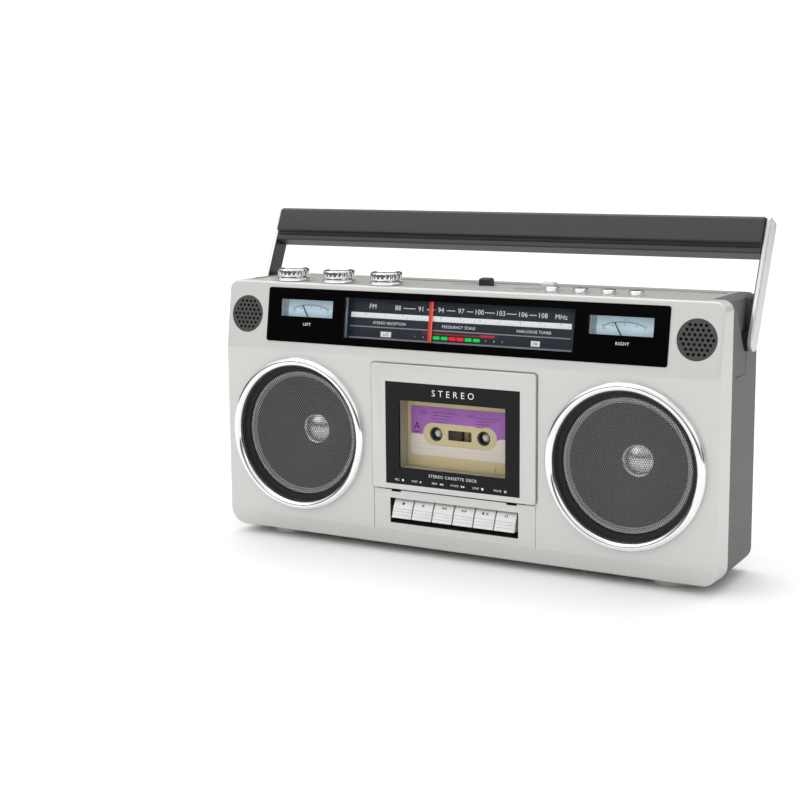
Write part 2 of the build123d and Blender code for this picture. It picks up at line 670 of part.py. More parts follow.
def dial_pointer():
    """The red needle and the carriage that slides along the rail."""
    low, high = up_band(DIAL_LOW) + 1, up_band(DIAL_HIGH) + 2
    face = dial_back - DIAL_GAP
    rail = high + 1.6
    needle = band_slab(panel(POINTER_X - POINTER_WIDTH / 2, POINTER_X + POINTER_WIDTH / 2, low, rail),
                       face + 1.0, face + 2.0)
    carriage = band_slab(panel(POINTER_X - 4, POINTER_X + 4, high + 0.4, rail + 1.6), face - 3.0, face + 2.0)
    bore = band_plane * Pos(POINTER_X - 5, rail, face - 1.5) * Rot(0, 90, 0) * Cylinder(
        0.8 + RUN_GAP, 10, align=(Align.CENTER, Align.CENTER, Align.MIN))
    return needle + (carriage - bore)


def indicator_lamps():
    face = dial_back - DIAL_GAP
    lamps = []
    for number in range(6):
        x = LAMP_FIRST + number * LAMP_PITCH
        lamps.append(band_slab(panel(x - LAMP_HALF, x + LAMP_HALF, up_band(LAMP_Z) - 1.3, up_band(LAMP_Z) + 1.3, 0.8),
                               face, face + 0.8))
    return lamps


def meter_case(x):
    """A white tray behind the band that holds the meter's printed face and its needle pin."""
    low, high = up_band(METER_LOW), up_band(METER_HIGH)
    tray = band_slab(panel(x - METER_HALF - 1.5, x + METER_HALF + 1.5, low - 6, high + 1.5),
                     dial_back - METER_DEPTH + 4, dial_back)
    tray -= band_slab(panel(x - METER_HALF - 0.2, x + METER_HALF + 0.2, low - 4.8, high + 0.2),
                      dial_back - 2.6, dial_back + 1)
    pin = Pos(x, low - 2.6) * Circle(0.7)
    return tray + band_slab(pin, dial_back - 3, dial_back - 0.4)


def meter_needle(x):
    low = up_band(METER_LOW)
    hub = band_slab(Pos(x, low - 2.6) * Circle(1.9), dial_back - 1.8, dial_back - 0.8)
    blade = band_slab(Pos(x, low - 2.6) * Rot(0, 0, NEEDLE_REST) * panel(-0.35, 0.35, 0, NEEDLE_LENGTH),
                      dial_back - 1.6, dial_back - 1.0)
    return (hub + blade) - band_slab(Pos(x, low - 2.6) * Circle(0.7 + RUN_GAP), dial_back - 5, dial_back + 1)


# ---------------------------------------------------------------- Door and cassette
def door_frame():
    """The silver door plate with the window opening, finger tabs and two hinge lugs."""
    plate = slab(panel(-DOOR_HALF, DOOR_HALF, DOOR_LOW, DOOR_HIGH, 2.5), door_front, door_back)
    plate = chamfer(plate.faces().sort_by(Axis.Y)[0].edges(), 0.5)
    plate -= slab(panel(-PANE_HALF, PANE_HALF, PANE_LOW, PANE_HIGH), door_front - 1, door_back + 1)
    for side in (-1, 1):
        lug = prism([(door_back - 0.3, PANE_LOW + 2), (WALL + 0.2, HINGE_Z + 10), (HINGE_Y - 8, HINGE_Z + 3.5),
                     (HINGE_Y - 3.4, HINGE_Z - 2.6), (HINGE_Y + 2.8, HINGE_Z + 3.2), (HINGE_Y - 6, HINGE_Z + 12),
                     (6, holder_low + 3), (door_back - 0.3, holder_low + 3)],
                    side * LUG_X - LUG_THICK / 2, side * LUG_X + LUG_THICK / 2)
        lug += rod_x(4.2, side * LUG_X - LUG_THICK / 2, side * LUG_X + LUG_THICK / 2, HINGE_Y, HINGE_Z)
        lug -= rod_x(HINGE_PIN_R + RUN_GAP, side * LUG_X - LUG_THICK, side * LUG_X + LUG_THICK,
                     HINGE_Y, HINGE_Z)
        lug -= block(-PANE_HALF, PANE_HALF, door_front - 1, door_back, PANE_LOW, PANE_HIGH)
        plate += lug
    return plate


def door_window():
    pane = slab(panel(-PANE_HALF, PANE_HALF, PANE_LOW, PANE_HIGH), door_front + 0.1, door_back)
    for side in (-1, 1):
        pane -= block(side * LUG_X - LUG_THICK / 2, side * LUG_X + LUG_THICK / 2, door_back - 0.3, door_back,
                      PANE_LOW - 1, holder_low + 3)
    return pane


def cassette_holder():
    """A beige tray behind the window: a sight tunnel in front and the cassette's pocket behind."""
    back = tape_back + 0.5
    tray = block(-holder_half, holder_half, door_back, back, holder_low, holder_high)
    tray -= block(-VIEW_HALF, VIEW_HALF, door_back - 1, back + 1, VIEW_LOW, VIEW_HIGH)
    tray -= block(-TAPE_WIDTH / 2, TAPE_WIDTH / 2, TAPE_FRONT, back + 1, TAPE_LOW, tape_top + 0.3)
    tray -= block(-head_gap, head_gap, TAPE_FRONT, back + 1, holder_low - 1, TAPE_LOW + 1)
    tray -= block(-head_gap - 1, head_gap + 1, TAPE_FRONT - TAPE_RAISED - 0.3, TAPE_FRONT + 1,
                  TAPE_LOW, TAPE_LOW + 14)
    for side in (-1, 1):
        tray -= block(side * LUG_X - LUG_THICK / 2 - 0.1, side * LUG_X + LUG_THICK / 2 + 0.1, door_back - 1,
                      HINGE_Y, holder_low - 1, holder_low + 3.1)
    return tray


def cassette_shell():
    """A hollow shell with hub holes, capstan holes and the open edge that faces the heads."""
    width = TAPE_WIDTH / 2
    outer = slab(panel(-width, width, TAPE_LOW, tape_top, 3), TAPE_FRONT, tape_back)
    raised = [(-33.5, TAPE_LOW), (33.5, TAPE_LOW), (31, TAPE_LOW + 13), (-31, TAPE_LOW + 13)]
    outer += slab(make_face(Polyline(*raised, close=True)), TAPE_FRONT - TAPE_RAISED, TAPE_FRONT + 0.1)
    inner = slab(panel(-width + TAPE_WALL, width - TAPE_WALL, TAPE_LOW + TAPE_WALL, tape_top - TAPE_WALL, 2),
                 TAPE_FRONT + TAPE_WALL, tape_back - TAPE_WALL)
    shell = outer - inner
    for side in (-1, 1):
        shell -= rod_y(HUB_HOLE_R + 0.6, TAPE_FRONT - 1, tape_back + 1, side * hub_x, hub_z)
    for x0, x1 in ((-CAPSTAN_X - 7, -CAPSTAN_X + 7), (-7.5, 7.5), (CAPSTAN_X - 7, CAPSTAN_X + 7)):
        shell -= block(x0, x1, TAPE_FRONT + TAPE_WALL, tape_back + 1, TAPE_LOW - 1, TAPE_LOW + 8)
    shell -= slab(panel(-10.5, 10.5, hub_z - 4, hub_z + 4, 1), TAPE_FRONT - 1, TAPE_FRONT + TAPE_WALL + 0.5)
    return shell


def cassette_label():
    """The paper label, with the opening round the hubs."""
    label = slab(panel(-44, 44, TAPE_LOW + 17, tape_top - 7, 2), TAPE_FRONT - 0.15, TAPE_FRONT)
    return label - slab(Pos(0, hub_z) * SlotOverall(66, 18), TAPE_FRONT - 1, TAPE_FRONT + 1)


def tape_reel(x, pack_radius):
    """A toothed hub with the tape wound on it."""
    front = TAPE_FRONT + TAPE_WALL + 0.3
    back = tape_back - TAPE_WALL - 0.3
    reel = rod_y(pack_radius, front + 0.5, back - 0.5, x, hub_z) + rod_y(HUB_R, front, back, x, hub_z)
    reel -= rod_y(HUB_HOLE_R, front - 1, back + 1, x, hub_z)
    for number in range(6):
        tooth = block(-0.6, 0.6, front, back, HUB_TEETH_R, HUB_HOLE_R + 0.3)
        reel += Pos(x, 0, hub_z) * Rot(0, 60 * number, 0) * tooth
    return reel


# ---------------------------------------------------------------- Deck
def deck_chassis():
    """The steel plate that carries the deck, with bearings and the motor's bracket."""
    half = DOOR_HALF + 1
    plate = block(-half, half, CHASSIS_Y, deck_back, HINGE_Z + 4, DOOR_HIGH - 4)
    for side in (-1, 1):
        plate -= rod_y(2.0 + RUN_GAP, CHASSIS_Y - 1, deck_back + 1, side * hub_x, hub_z)
    plate += rod_y(4.0, deck_back - 0.5, fly_front - 0.4, CAPSTAN_X, capstan_z)
    plate -= rod_y(CAPSTAN_R + RUN_GAP, CHASSIS_Y - 1, fly_front + 1, CAPSTAN_X, capstan_z)
    bracket = block(MOTOR_X - 19, MOTOR_X + 14, motor_front - MOTOR_PLATE, motor_front,
                    capstan_z - 14.4, capstan_z + 20)
    bracket -= rod_y(3.5, motor_front - 3, motor_front + 1, MOTOR_X, capstan_z)
    for x, z in ((MOTOR_X - 15, capstan_z - 10), (MOTOR_X - 15, capstan_z + 14)):
        bracket += rod_y(2.5, deck_back - 0.5, motor_front - MOTOR_PLATE + 0.2, x, z)
    for x, z in ((-45, 140), (45, 140), (0, 130)):
        plate -= rod_y(6, CHASSIS_Y - 1, deck_back + 1, x, z)
    return plate + bracket


def deck_motor():
    body = rod_y(MOTOR_R, motor_front, motor_front + MOTOR_LENGTH, MOTOR_X, capstan_z)
    return fillet(body.edges().group_by(Axis.Y)[-1], 2.0)


def motor_pulley():
    pulley = rod_y(PULLEY_R, fly_front + 0.5, fly_back - 0.5, MOTOR_X, capstan_z)
    pulley += rod_y(PULLEY_R + 1.6, fly_front - 0.6, fly_front + 0.6, MOTOR_X, capstan_z)
    pulley += rod_y(PULLEY_R + 1.6, fly_back - 0.6, fly_back + 0.6, MOTOR_X, capstan_z)
    return pulley + rod_y(1.2, fly_front - 0.6, motor_front - 0.2, MOTOR_X, capstan_z)


def drive_belt():
    """A flat loop round the pulley and the flywheel, clear of both by a small running gap."""
    def loop(extra):
        return make_hull((Pos(MOTOR_X, capstan_z) * Circle(PULLEY_R + extra)).edges()
                         + (Pos(CAPSTAN_X, capstan_z) * Circle(FLYWHEEL_R + extra)).edges())
    middle = (fly_front + fly_back) / 2
    return slab(loop(0.2 + BELT_THICK), middle - 2, middle + 2) - slab(loop(0.2), middle - 3, middle + 3)


def capstan_flywheel():
    tip = tape_back - 5.7
    wheel = rod_y(FLYWHEEL_R, fly_front, fly_back, CAPSTAN_X, capstan_z)
    ring = rod_y(FLYWHEEL_R - 5, fly_back - 3, fly_back + 1, CAPSTAN_X, capstan_z)
    wheel -= ring - rod_y(6, fly_back - 4, fly_back + 2, CAPSTAN_X, capstan_z)
    return wheel + rod_y(CAPSTAN_R, tip, fly_front + 0.5, CAPSTAN_X, capstan_z)


def reel_spindle(x):
    """A three-finned spindle on a thin shaft, with its friction wheel behind the chassis."""
    base = tape_back + 1.1
    tip = tape_back - 6.0
    spindle = rod_y(SPINDLE_R, tip, base + 0.1, x, hub_z)
    spindle = chamfer(spindle.edges().group_by(Axis.Y)[0], 1.2)
    for number in range(3):
        fin = block(-0.5, 0.5, tip + 2, base + 0.1, 0, SPINDLE_FIN_R)
        spindle += Pos(x, 0, hub_z) * Rot(0, 120 * number + 30, 0) * fin
    spindle += rod_y(8, base, CHASSIS_Y - 0.6, x, hub_z)
    spindle += rod_y(2, base, wheel_back, x, hub_z)
    return spindle + rod_y(16, deck_back + 0.8, wheel_back, x, hub_z)


def head_bridge():
    """The sliding plate with the record head, the erase head and the pinch roller's pin."""
    front, back = tape_back + 1.0, CHASSIS_Y - 0.4
    low = roller_z - 8
    plate = block(-36, 36, front, back, low, low + 8)
    plate += block(-36, -31, front, back, low, low + 10)
    top = TAPE_LOW - 1.7
    record = block(-6, 6, TAPE_FRONT + 2.6, front + 0.5, low + 2, top)
    erase = block(-CAPSTAN_X - 3.5, -CAPSTAN_X + 3.5, TAPE_FRONT + 2.6, front + 0.5, low + 2, top)
    plate += fillet(record.edges().filter_by(Axis.Y).group_by(Axis.Z)[-1], 2.5)
    plate += fillet(erase.edges().filter_by(Axis.Y).group_by(Axis.Z)[-1], 1.5)
    plate += block(CAPSTAN_X - 3, CAPSTAN_X + 3, front, back, low, roller_z + 3)
    return plate + rod_y(1.2, TAPE_FRONT + 1.2, front + 0.5, CAPSTAN_X, roller_z)


def pinch_roller():
    roller = rod_y(ROLLER_R, TAPE_FRONT + 1.5, tape_back - 0.9, CAPSTAN_X, roller_z)
    return roller - rod_y(1.2 + RUN_GAP, TAPE_FRONT, tape_back + 1, CAPSTAN_X, roller_z)


# ---------------------------------------------------------------- Keys
def piano_key(x):
    """A lever on the common axle: a sloping face, three finger ridges and a lip."""
    ridges = [(0.3 - 0.85 * n + 0.7 * k, 38.2 - 2.3 * n - 0.3 * k) for n in range(3) for k in (0, 1)]
    outline = [(7.5, KEY_WELL_HIGH - 0.8), (4.5, KEY_WELL_HIGH - 0.8)] + ridges + [
        (-2.3, 31.4), (-2.3, 30.6), (5, 30.6), (7, KEY_AXLE_Z - 2.2), (KEY_AXLE_Y, KEY_AXLE_Z - 2.2),
        (KEY_AXLE_Y, KEY_AXLE_Z + 2.2), (10, KEY_AXLE_Z + 2.8), (9.5, KEY_WELL_HIGH - 2.4)]
    half = KEY_WIDTH / 2
    key = prism(outline, x - half, x + half)
    key += rod_x(3.0, x - half, x + half, KEY_AXLE_Y, KEY_AXLE_Z)
    return key - rod_x(KEY_AXLE_R + RUN_GAP, x - half - 1, x + half + 1, KEY_AXLE_Y, KEY_AXLE_Z)


def key_axle():
    return rod_x(KEY_AXLE_R, -key_axle_x + 0.5, key_axle_x - 0.5, KEY_AXLE_Y, KEY_AXLE_Z)


# ---------------------------------------------------------------- Top controls
def turning_knob(x):
    """A turned knob: wider base ring, plain skirt, chamfered top and a shaft below."""
    base = CASE_TOP + 0.3
    knob = rod_z(KNOB_R, base, base + 2.6, x, KNOB_Y)
    knob += rod_z(KNOB_R - 1.6, base, base + 3.6, x, KNOB_Y)
    crown = rod_z(KNOB_R - 0.8, base + 3.4, base + KNOB_HEIGHT, x, KNOB_Y)
    knob += chamfer(crown.edges().group_by(Axis.Z)[-1], 0.8)
    knob -= block(x - 0.6, x + 0.6, KNOB_Y - KNOB_R, KNOB_Y - 5, base + KNOB_HEIGHT - 0.7, base + KNOB_HEIGHT + 1)
    return knob + rod_z(KNOB_SHAFT_R, CASE_TOP - 8.5, base + 0.5, x, KNOB_Y)


def push_button(x):
    cap = rod_z(BUTTON_R, CASE_TOP - 8, CASE_TOP + BUTTON_HEIGHT, x, BUTTON_Y)
    cap = fillet(cap.edges().group_by(Axis.Z)[-1], 0.8)
    return cap + rod_z(BUTTON_R + 1.2, CASE_TOP - 9, CASE_TOP - 7, x, BUTTON_Y)


def slide_knob(x, y, length, height):
    """A finger piece on a flat carrier, with its stem down through the slot."""
    cap = block(x - length / 2, x + length / 2, y - 3.8, y + 3.8, CASE_TOP - 0.4, CASE_TOP + height)
    cap = chamfer(cap.faces().sort_by(Axis.Z)[-1].edges(), 1.2)
    cap += block(x - 2, x + 2, y - 1.3, y + 1.3, CASE_TOP - 6, CASE_TOP)
    return cap


def switch_bodies():
    """The three rotary controls, four button switches and two slide switches under the top panel."""
    under = CASE_TOP - TOP_PLATE
    bodies = []
    for x in KNOB_XS.values():
        body = block(x - 8.5, x + 8.5, KNOB_Y - 6.5, KNOB_Y + 9, under - 8.5, under)
        bodies.append(body - rod_z(KNOB_SHAFT_R + RUN_GAP, under - 7.5, under + 1, x, KNOB_Y))
    for x in BUTTON_XS.values():
        body = block(x - 7, x + 7, BUTTON_Y + BUTTON_R - 12, BUTTON_Y + 9.2, CASE_TOP - 17,
                     CASE_TOP - 9 - BUTTON_TRAVEL - 0.5)
        body += block(x - 7, x + 7, BUTTON_Y + 7.6, BUTTON_Y + 9.2, CASE_TOP - 17, under)
        bodies.append(body)
    for x, y in ((BAND_SWITCH_X, BAND_SWITCH_Y), (FUNCTION_SWITCH_X, FUNCTION_SWITCH_Y)):
        body = block(x - SWITCH_TRAVEL - 7, x + 7, y - 4, y + 4, under - 9, under)
        bodies.append(body - block(x - SWITCH_TRAVEL - 4, x + 4, y - 1.5, y + 1.5, under - 7, under + 1))
    return group(bodies)


# ---------------------------------------------------------------- Power, board and sockets
def battery_cells():
    cells = []
    for number in range(CELL_COUNT):
        x0 = (number - CELL_COUNT / 2) * CELL_LENGTH
        cell = rod_x(CELL_R, x0 + 1.5, x0 + CELL_LENGTH - 0.2, battery_y, battery_z)
        cells.append(cell + rod_x(4.5, x0 + 0.1, x0 + 2, battery_y, battery_z))
    return group(cells)


def power_unit():
    """A laminated transformer on two feet, standing on the case floor."""
    y = 62.0
    core = block(INLET_X - 29, INLET_X + 15, y - 9, y + 9, floor_inside, floor_inside + 36)
    core -= block(INLET_X - 22, INLET_X + 8, y - 10, y + 10, floor_inside + 7, floor_inside + 29)
    coil = block(INLET_X - 21.9, INLET_X + 7.9, y - 14, y + 14, floor_inside + 7.2, floor_inside + 28.8)
    return core + fillet(coil.edges().filter_by(Axis.Z), 4.0)


def mains_inlet():
    """The two-pin appliance inlet, with its shroud and pins."""
    body = slab(panel(INLET_X - 12, INLET_X + 12, SOCKET_Z - 8.5, SOCKET_Z + 8.5, 3), back_inside - 6, case_back)
    body += slab(panel(INLET_X - 14, INLET_X + 14, SOCKET_Z - 10.5, SOCKET_Z + 10.5, 2),
                 back_inside - 2, back_inside)
    well = SlotOverall(16.6, 8.6)
    body -= slab(Pos(INLET_X, SOCKET_Z) * well, back_inside - 5, case_back + 1)
    for side in (-1, 1):
        body += rod_y(1.2, back_inside - 5.5, case_back - 1.5, INLET_X + side * 3.3, SOCKET_Z)
    return body


def signal_jacks():
    jacks = []
    for x in JACK_XS:
        body = rod_y(4.5, back_inside - 0.5, case_back + 0.3, x, SOCKET_Z)
        body += block(x - 6, x + 6, back_inside - 14, back_inside, SOCKET_Z - 6, SOCKET_Z + 6)
        jacks.append(body - rod_y(JACK_BORE_R, back_inside - 13, case_back + 1, x, SOCKET_Z))
    return jacks


def main_board():
    """The circuit board on four posts, with its coils, cans and capacitors."""
    back = back_inside - 14
    board = block(-66, 66, back - 1.6, back, 56, 150)
    for x in (-60, 60):
        for z in (62, 144):
            board += rod_y(3, back - 0.2, back_inside, x, z)
    for number in range(6):
        x = 14 + 9 * (number % 3)
        z = 128 - 14 * (number // 3)
        board += rod_y(3.6, back - 1.6 - 11, back - 1.5, x, z)
    for number in range(4):
        x = -50 + 13 * number
        board += block(x - 4, x + 4, back - 11, back - 1.5, 134, 142)
    board += block(36, 60, back - 6, back - 1.5, 84, 92)
    return board + block(-54, -34, back - 5, back - 1.5, 108, 116)


# ---------------------------------------------------------------- Handle
def on_handle(shape):
    """Turn a shape drawn with the arm upright back to the handle's resting lean."""
    return Pos(0, PIVOT_Y, PIVOT_Z) * Rot(-HANDLE_TILT, 0, 0) * shape


def handle_arm(side):
    """A flat bar with a rounded foot, a boss on the inside and a blind bore for the pivot."""
    outline = Circle(ARM_WIDTH / 2) + panel(-ARM_WIDTH / 2, ARM_WIDTH / 2, 0, ARM_LENGTH)
    outline = fillet(outline.vertices().sort_by(Axis.Y)[-2:], 3.5)
    arm = extrude(Plane.YZ.offset(ARM_INSIDE) * outline, ARM_THICK)
    arm = chamfer(arm.faces().sort_by(Axis.X)[-1].edges(), 0.6)
    floor = rear_half_at(PIVOT_Y) - RECESS_DEPTH
    arm += rod_x(BOSS_R, floor + 0.5, ARM_INSIDE + 0.5, 0, 0)
    arm -= rod_x(PIVOT_R + RUN_GAP, floor, ARM_INSIDE + 1.5, 0, 0)
    arm = on_handle(arm)
    return arm if side > 0 else mirror(arm, Plane.YZ)


def handle_grip():
    """The black bar between the arms: a flat upper face, a groove and a lower lip."""
    outline = [(-12, 73), (-12, 91.5), (-9.5, 94), (5.5, 94), (8, 91.5), (8, 68), (5.5, 65), (-9, 65),
               (-9.5, 66), (-9.5, 69), (-8, 70.2), (-8, 71.8)]
    bar = prism(outline, -ARM_INSIDE, ARM_INSIDE)
    return on_handle(bar)


# ---------------------------------------------------------------- The whole set
pieces["front_shell"] = front_shell()
pieces["rear_shell"] = rear_shell()
pieces["top_panel"] = top_panel()
pieces["battery_hatch"] = battery_hatch()
pieces["rubber_feet"] = rubber_feet()
pieces["case_screws"] = case_screws()
pieces["aerial_tube"], pieces["aerial_rod"] = aerial()
pieces["speaker_rings"] = group([speaker_ring(-SPEAKER_X), speaker_ring(SPEAKER_X)])
pieces["speaker_grilles"] = group([speaker_grille(-SPEAKER_X), speaker_grille(SPEAKER_X)])
pieces["speaker_drivers"] = group([speaker_frame(-SPEAKER_X), speaker_frame(SPEAKER_X),
                                   tweeter(-TWEETER_X), tweeter(TWEETER_X)])
pieces["woofer_cone_left"] = woofer_cone(-SPEAKER_X)
pieces["woofer_cone_right"] = woofer_cone(SPEAKER_X)
pieces["tweeter_grilles"] = group([tweeter_grille(-TWEETER_X), tweeter_grille(TWEETER_X)])
pieces["tuner_window"] = tuner_window()
pieces["dial_plate"] = group([dial_plate()] + indicator_lamps())
pieces["dial_pointer"] = dial_pointer()
pieces["meter_cases"] = group([meter_case(-METER_X), meter_case(METER_X)])
pieces["meter_needle_left"] = meter_needle(-METER_X)
pieces["meter_needle_right"] = meter_needle(METER_X)
pieces["door_frame"] = door_frame()
pieces["door_window"] = door_window()
pieces["cassette_holder"] = cassette_holder()
pieces["cassette_shell"] = cassette_shell()
pieces["cassette_label"] = cassette_label()
pieces["supply_reel"] = tape_reel(-hub_x, SUPPLY_PACK_R)
pieces["take_up_reel"] = tape_reel(hub_x, TAKE_UP_PACK_R)
pieces["deck_chassis"] = deck_chassis()
pieces["deck_motor"] = deck_motor()
pieces["motor_pulley"] = motor_pulley()
pieces["drive_belt"] = drive_belt()
pieces["capstan_flywheel"] = capstan_flywheel()
pieces["supply_spindle"] = reel_spindle(-hub_x)
pieces["take_up_spindle"] = reel_spindle(hub_x)
pieces["head_bridge"] = head_bridge()
pieces["pinch_roller"] = pinch_roller()
pieces["key_axle"] = key_axle()
for number, name in enumerate(("record", "play", "rewind", "forward", "stop", "pause")):
    pieces[name + "_key"] = piano_key((number - (KEY_COUNT - 1) / 2) * KEY_PITCH)
for name, x in KNOB_XS.items():
    pieces[name] = turning_knob(x)
for name, x in BUTTON_XS.items():
    pieces[name] = push_button(x)
pieces["band_switch"] = slide_knob(BAND_SWITCH_X, BAND_SWITCH_Y, 10, 6)
pieces["function_switch"] = slide_knob(FUNCTION_SWITCH_X, FUNCTION_SWITCH_Y, 12, 6)
pieces["switch_bodies"] = switch_bodies()
pieces["battery_cells"] = battery_cells()
pieces["power_unit"] = power_unit()
pieces["rear_sockets"] = group([mains_inlet()] + signal_jacks())
pieces["main_board"] = main_board()
pieces["handle_arm_left"] = handle_arm(-1)
pieces["handle_arm_right"] = handle_arm(1)
pieces["handle_grip"] = handle_grip()

boxes = [piece.bounding_box() for piece in pieces.values()]
front_most = min(box.min.Y for box in boxes)
back_most = max(box.max.Y for box in boxes)
to_middle = -(front_most + back_most) / 2

os.makedirs("parts", exist_ok=True)
for name, piece in pieces.items():
    export_step(Pos(0, to_middle, 0) * piece, "parts/" + name + ".step")
print("nodes", len(pieces), "moved back by", round(to_middle, 4))
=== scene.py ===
import json
from math import atan2, cos, pi, radians, sin, sqrt

import bmesh
import bpy
import numpy as np
from mathutils import Matrix, Vector

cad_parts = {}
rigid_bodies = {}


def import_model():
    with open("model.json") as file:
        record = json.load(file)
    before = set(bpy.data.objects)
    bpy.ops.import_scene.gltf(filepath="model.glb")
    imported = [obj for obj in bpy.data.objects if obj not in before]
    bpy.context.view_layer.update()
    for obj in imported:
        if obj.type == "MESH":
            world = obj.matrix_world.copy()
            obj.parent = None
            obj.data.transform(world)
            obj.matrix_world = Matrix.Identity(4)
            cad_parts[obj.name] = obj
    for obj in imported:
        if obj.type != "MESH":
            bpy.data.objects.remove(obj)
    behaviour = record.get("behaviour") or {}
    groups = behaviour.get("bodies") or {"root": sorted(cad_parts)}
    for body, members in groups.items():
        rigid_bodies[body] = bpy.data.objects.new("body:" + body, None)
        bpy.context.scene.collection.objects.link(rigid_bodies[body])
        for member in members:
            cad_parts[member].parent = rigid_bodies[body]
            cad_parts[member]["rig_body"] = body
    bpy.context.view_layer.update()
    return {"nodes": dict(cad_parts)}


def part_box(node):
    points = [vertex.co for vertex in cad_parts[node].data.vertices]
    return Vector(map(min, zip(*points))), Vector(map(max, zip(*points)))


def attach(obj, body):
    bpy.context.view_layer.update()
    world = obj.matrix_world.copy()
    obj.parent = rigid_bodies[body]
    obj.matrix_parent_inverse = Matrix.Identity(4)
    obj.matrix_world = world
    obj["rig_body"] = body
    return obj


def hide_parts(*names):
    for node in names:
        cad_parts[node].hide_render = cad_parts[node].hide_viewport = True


bl_info = {
    "name": "Portable cassette radio",
    "version": (1, 0, 0),
    "blender": (4, 5, 0),
    "location": "View3D > Sidebar > Radio",
    "description": "Finishes, prints and fine pieces of a portable radio cassette recorder",
    "category": "Object",
}

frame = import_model()

# ---------------------------------------------------------------- Places on the set, in millimetres
MM = 0.001
CREASE_HEIGHT = 160.2      # where the front starts to lean back
BAND_SET = 8.5             # how far it leans back at the top
SPEAKER_X, SPEAKER_Z = 144.0, 91.0
METER_X, METER_HALF, METER_LOW, METER_HIGH = 137.8, 26.2, 187.2, 202.2
DIAL_HALF, DIAL_LOW, DIAL_HIGH = 101.5, 172.9, 205.7
DIAL_FACE, METER_FACE, WINDOW_FRONT = -7.0, -6.6, 0.6   # along the band's outward direction
HUB_X, HUB_Z, HUB_RADIUS = 21.25, 99.2, 11.05
CAP_RADIUS, ROLL_RADIUS, RIB_LOW, RIB_HIGH = 12.4, 47.0, 14.0, 46.0   # rings of a woofer's cone
MESH_DEPTH, RIM_WIDTH = 0.4, 2.2
GROOVE_START = 0.7         # paint deeper than this is in shade
GROOVE = (-62.0, 62.0, 20.4, 145.0)    # painted shade round the door and the key well: left, right, low, high
ARM_FACE = 217.9           # outer side of the handle's arms begins here
VIEW_HALF, VIEW_LOW, VIEW_HIGH = 47.0, 72.3, 127.0
KEY_NAMES = ("record", "play", "rewind", "forward", "stop", "pause")
KEY_PITCH = 18.4
KNOB_Y = -26.43
KNOB_HEIGHT = 10.0
KNOB_XS = {"volume_knob": -162.0, "tone_knob": -117.5, "tuning_knob": -72.5}
FLUTES = 22                # hollows round a knob's crown
BUTTON_XS = {"loudness": 72.7, "stereo": 96.4, "mute": 119.1, "light": 141.3}

panel_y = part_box("front_shell")[0].y
case_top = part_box("front_shell")[1].z
back_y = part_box("rear_shell")[1].y
pane_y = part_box("door_window")[0].y
label_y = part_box("cassette_label")[0].y
band_rise = case_top / MM - CREASE_HEIGHT
lean = atan2(BAND_SET, band_rise)


def plane(origin, right, up):
    """A matrix from millimetres on a flat place to metres: its columns are right, up and outward."""
    right, up = Vector(right).normalized(), Vector(up).normalized()
    turn = Matrix((right, up, right.cross(up))).transposed()
    return Matrix.Translation(origin) @ (turn * MM).to_4x4()


FRONT = plane((0, panel_y, 0), (1, 0, 0), (0, 0, 1))
BAND = plane((0, panel_y, CREASE_HEIGHT * MM), (1, 0, 0), (0, sin(lean), cos(lean)))
PANE = plane((0, pane_y, 0), (1, 0, 0), (0, 0, 1))
LABEL = plane((0, label_y, 0), (1, 0, 0), (0, 0, 1))
TOP = plane((0, 0, case_top), (1, 0, 0), (0, 1, 0))
BACK = plane((0, back_y, 0), (-1, 0, 0), (0, 0, 1))


def up_band(height):
    """Distance up the leaning band from its crease, for a height above the table."""
    return (height - CREASE_HEIGHT) / cos(lean)


def linear(code):
    """A colour for the shaders from a hex code: each part is raised to the power 2.2."""
    return tuple((int(code[k:k + 2], 16) / 255) ** 2.2 for k in (1, 3, 5)) + (1.0,)


# ---------------------------------------------------------------- Surfaces
def joined(*parts):
    """Several (points, faces) as one: each part's faces are moved on by the points before it."""
    points, faces, first = [], [], 0
    for part_points, part_faces in parts:
        points.append(part_points)
        faces += [[first + corner for corner in face] for face in part_faces]
        first += len(part_points)
    return np.concatenate(points), faces


def plates(rows, low, high):
    """Flat bars from rows of x0, x1, y0, y1, each with four corners at low and four at high."""
    rows = np.atleast_2d(np.asarray(rows, float))
    x = rows[:, [0, 1, 1, 0, 0, 1, 1, 0]]
    y = rows[:, [2, 2, 3, 3, 2, 2, 3, 3]]
    z = np.broadcast_to([low] * 4 + [high] * 4, x.shape)
    sides = np.array([[3, 2, 1, 0], [4, 5, 6, 7], [0, 1, 5, 4], [1, 2, 6, 5], [2, 3, 7, 6], [3, 0, 4, 7]])
    faces = sides + 8 * np.arange(len(rows))[:, None, None]
    return np.stack([x, y, z], -1).reshape(-1, 3), faces.reshape(-1, 4).tolist()


def plate(outline, low, high):
    """An outline, anticlockwise from outside, as a thin plate: a face each side and a wall between."""
    outline = np.asarray(outline, float)
    count = len(outline)
    lower = np.column_stack([outline, np.full(count, low)])
    upper = np.column_stack([outline, np.full(count, high)])
    here, after = np.arange(count), np.roll(np.arange(count), -1)
    walls = np.stack([here, after, after + count, here + count], 1).tolist()
    return np.concatenate([lower, upper]), [here[::-1].tolist(), (here + count).tolist()] + walls


def rounded(x0, x1, y0, y1, radius, steps=6):
    """A rectangle's outline with its corners turned as quarter circles."""
    angle = np.linspace(0, pi / 2, steps)
    turns = [(x1, y1, 0), (x0, y1, 1), (x0, y0, 2), (x1, y0, 3)]
    return np.concatenate([np.column_stack([
        x + radius * (np.cos(angle + quarter * pi / 2) - (1 if x == x1 else -1)),
        y + radius * (np.sin(angle + quarter * pi / 2) - (1 if y == y1 else -1))])
        for x, y, quarter in turns])


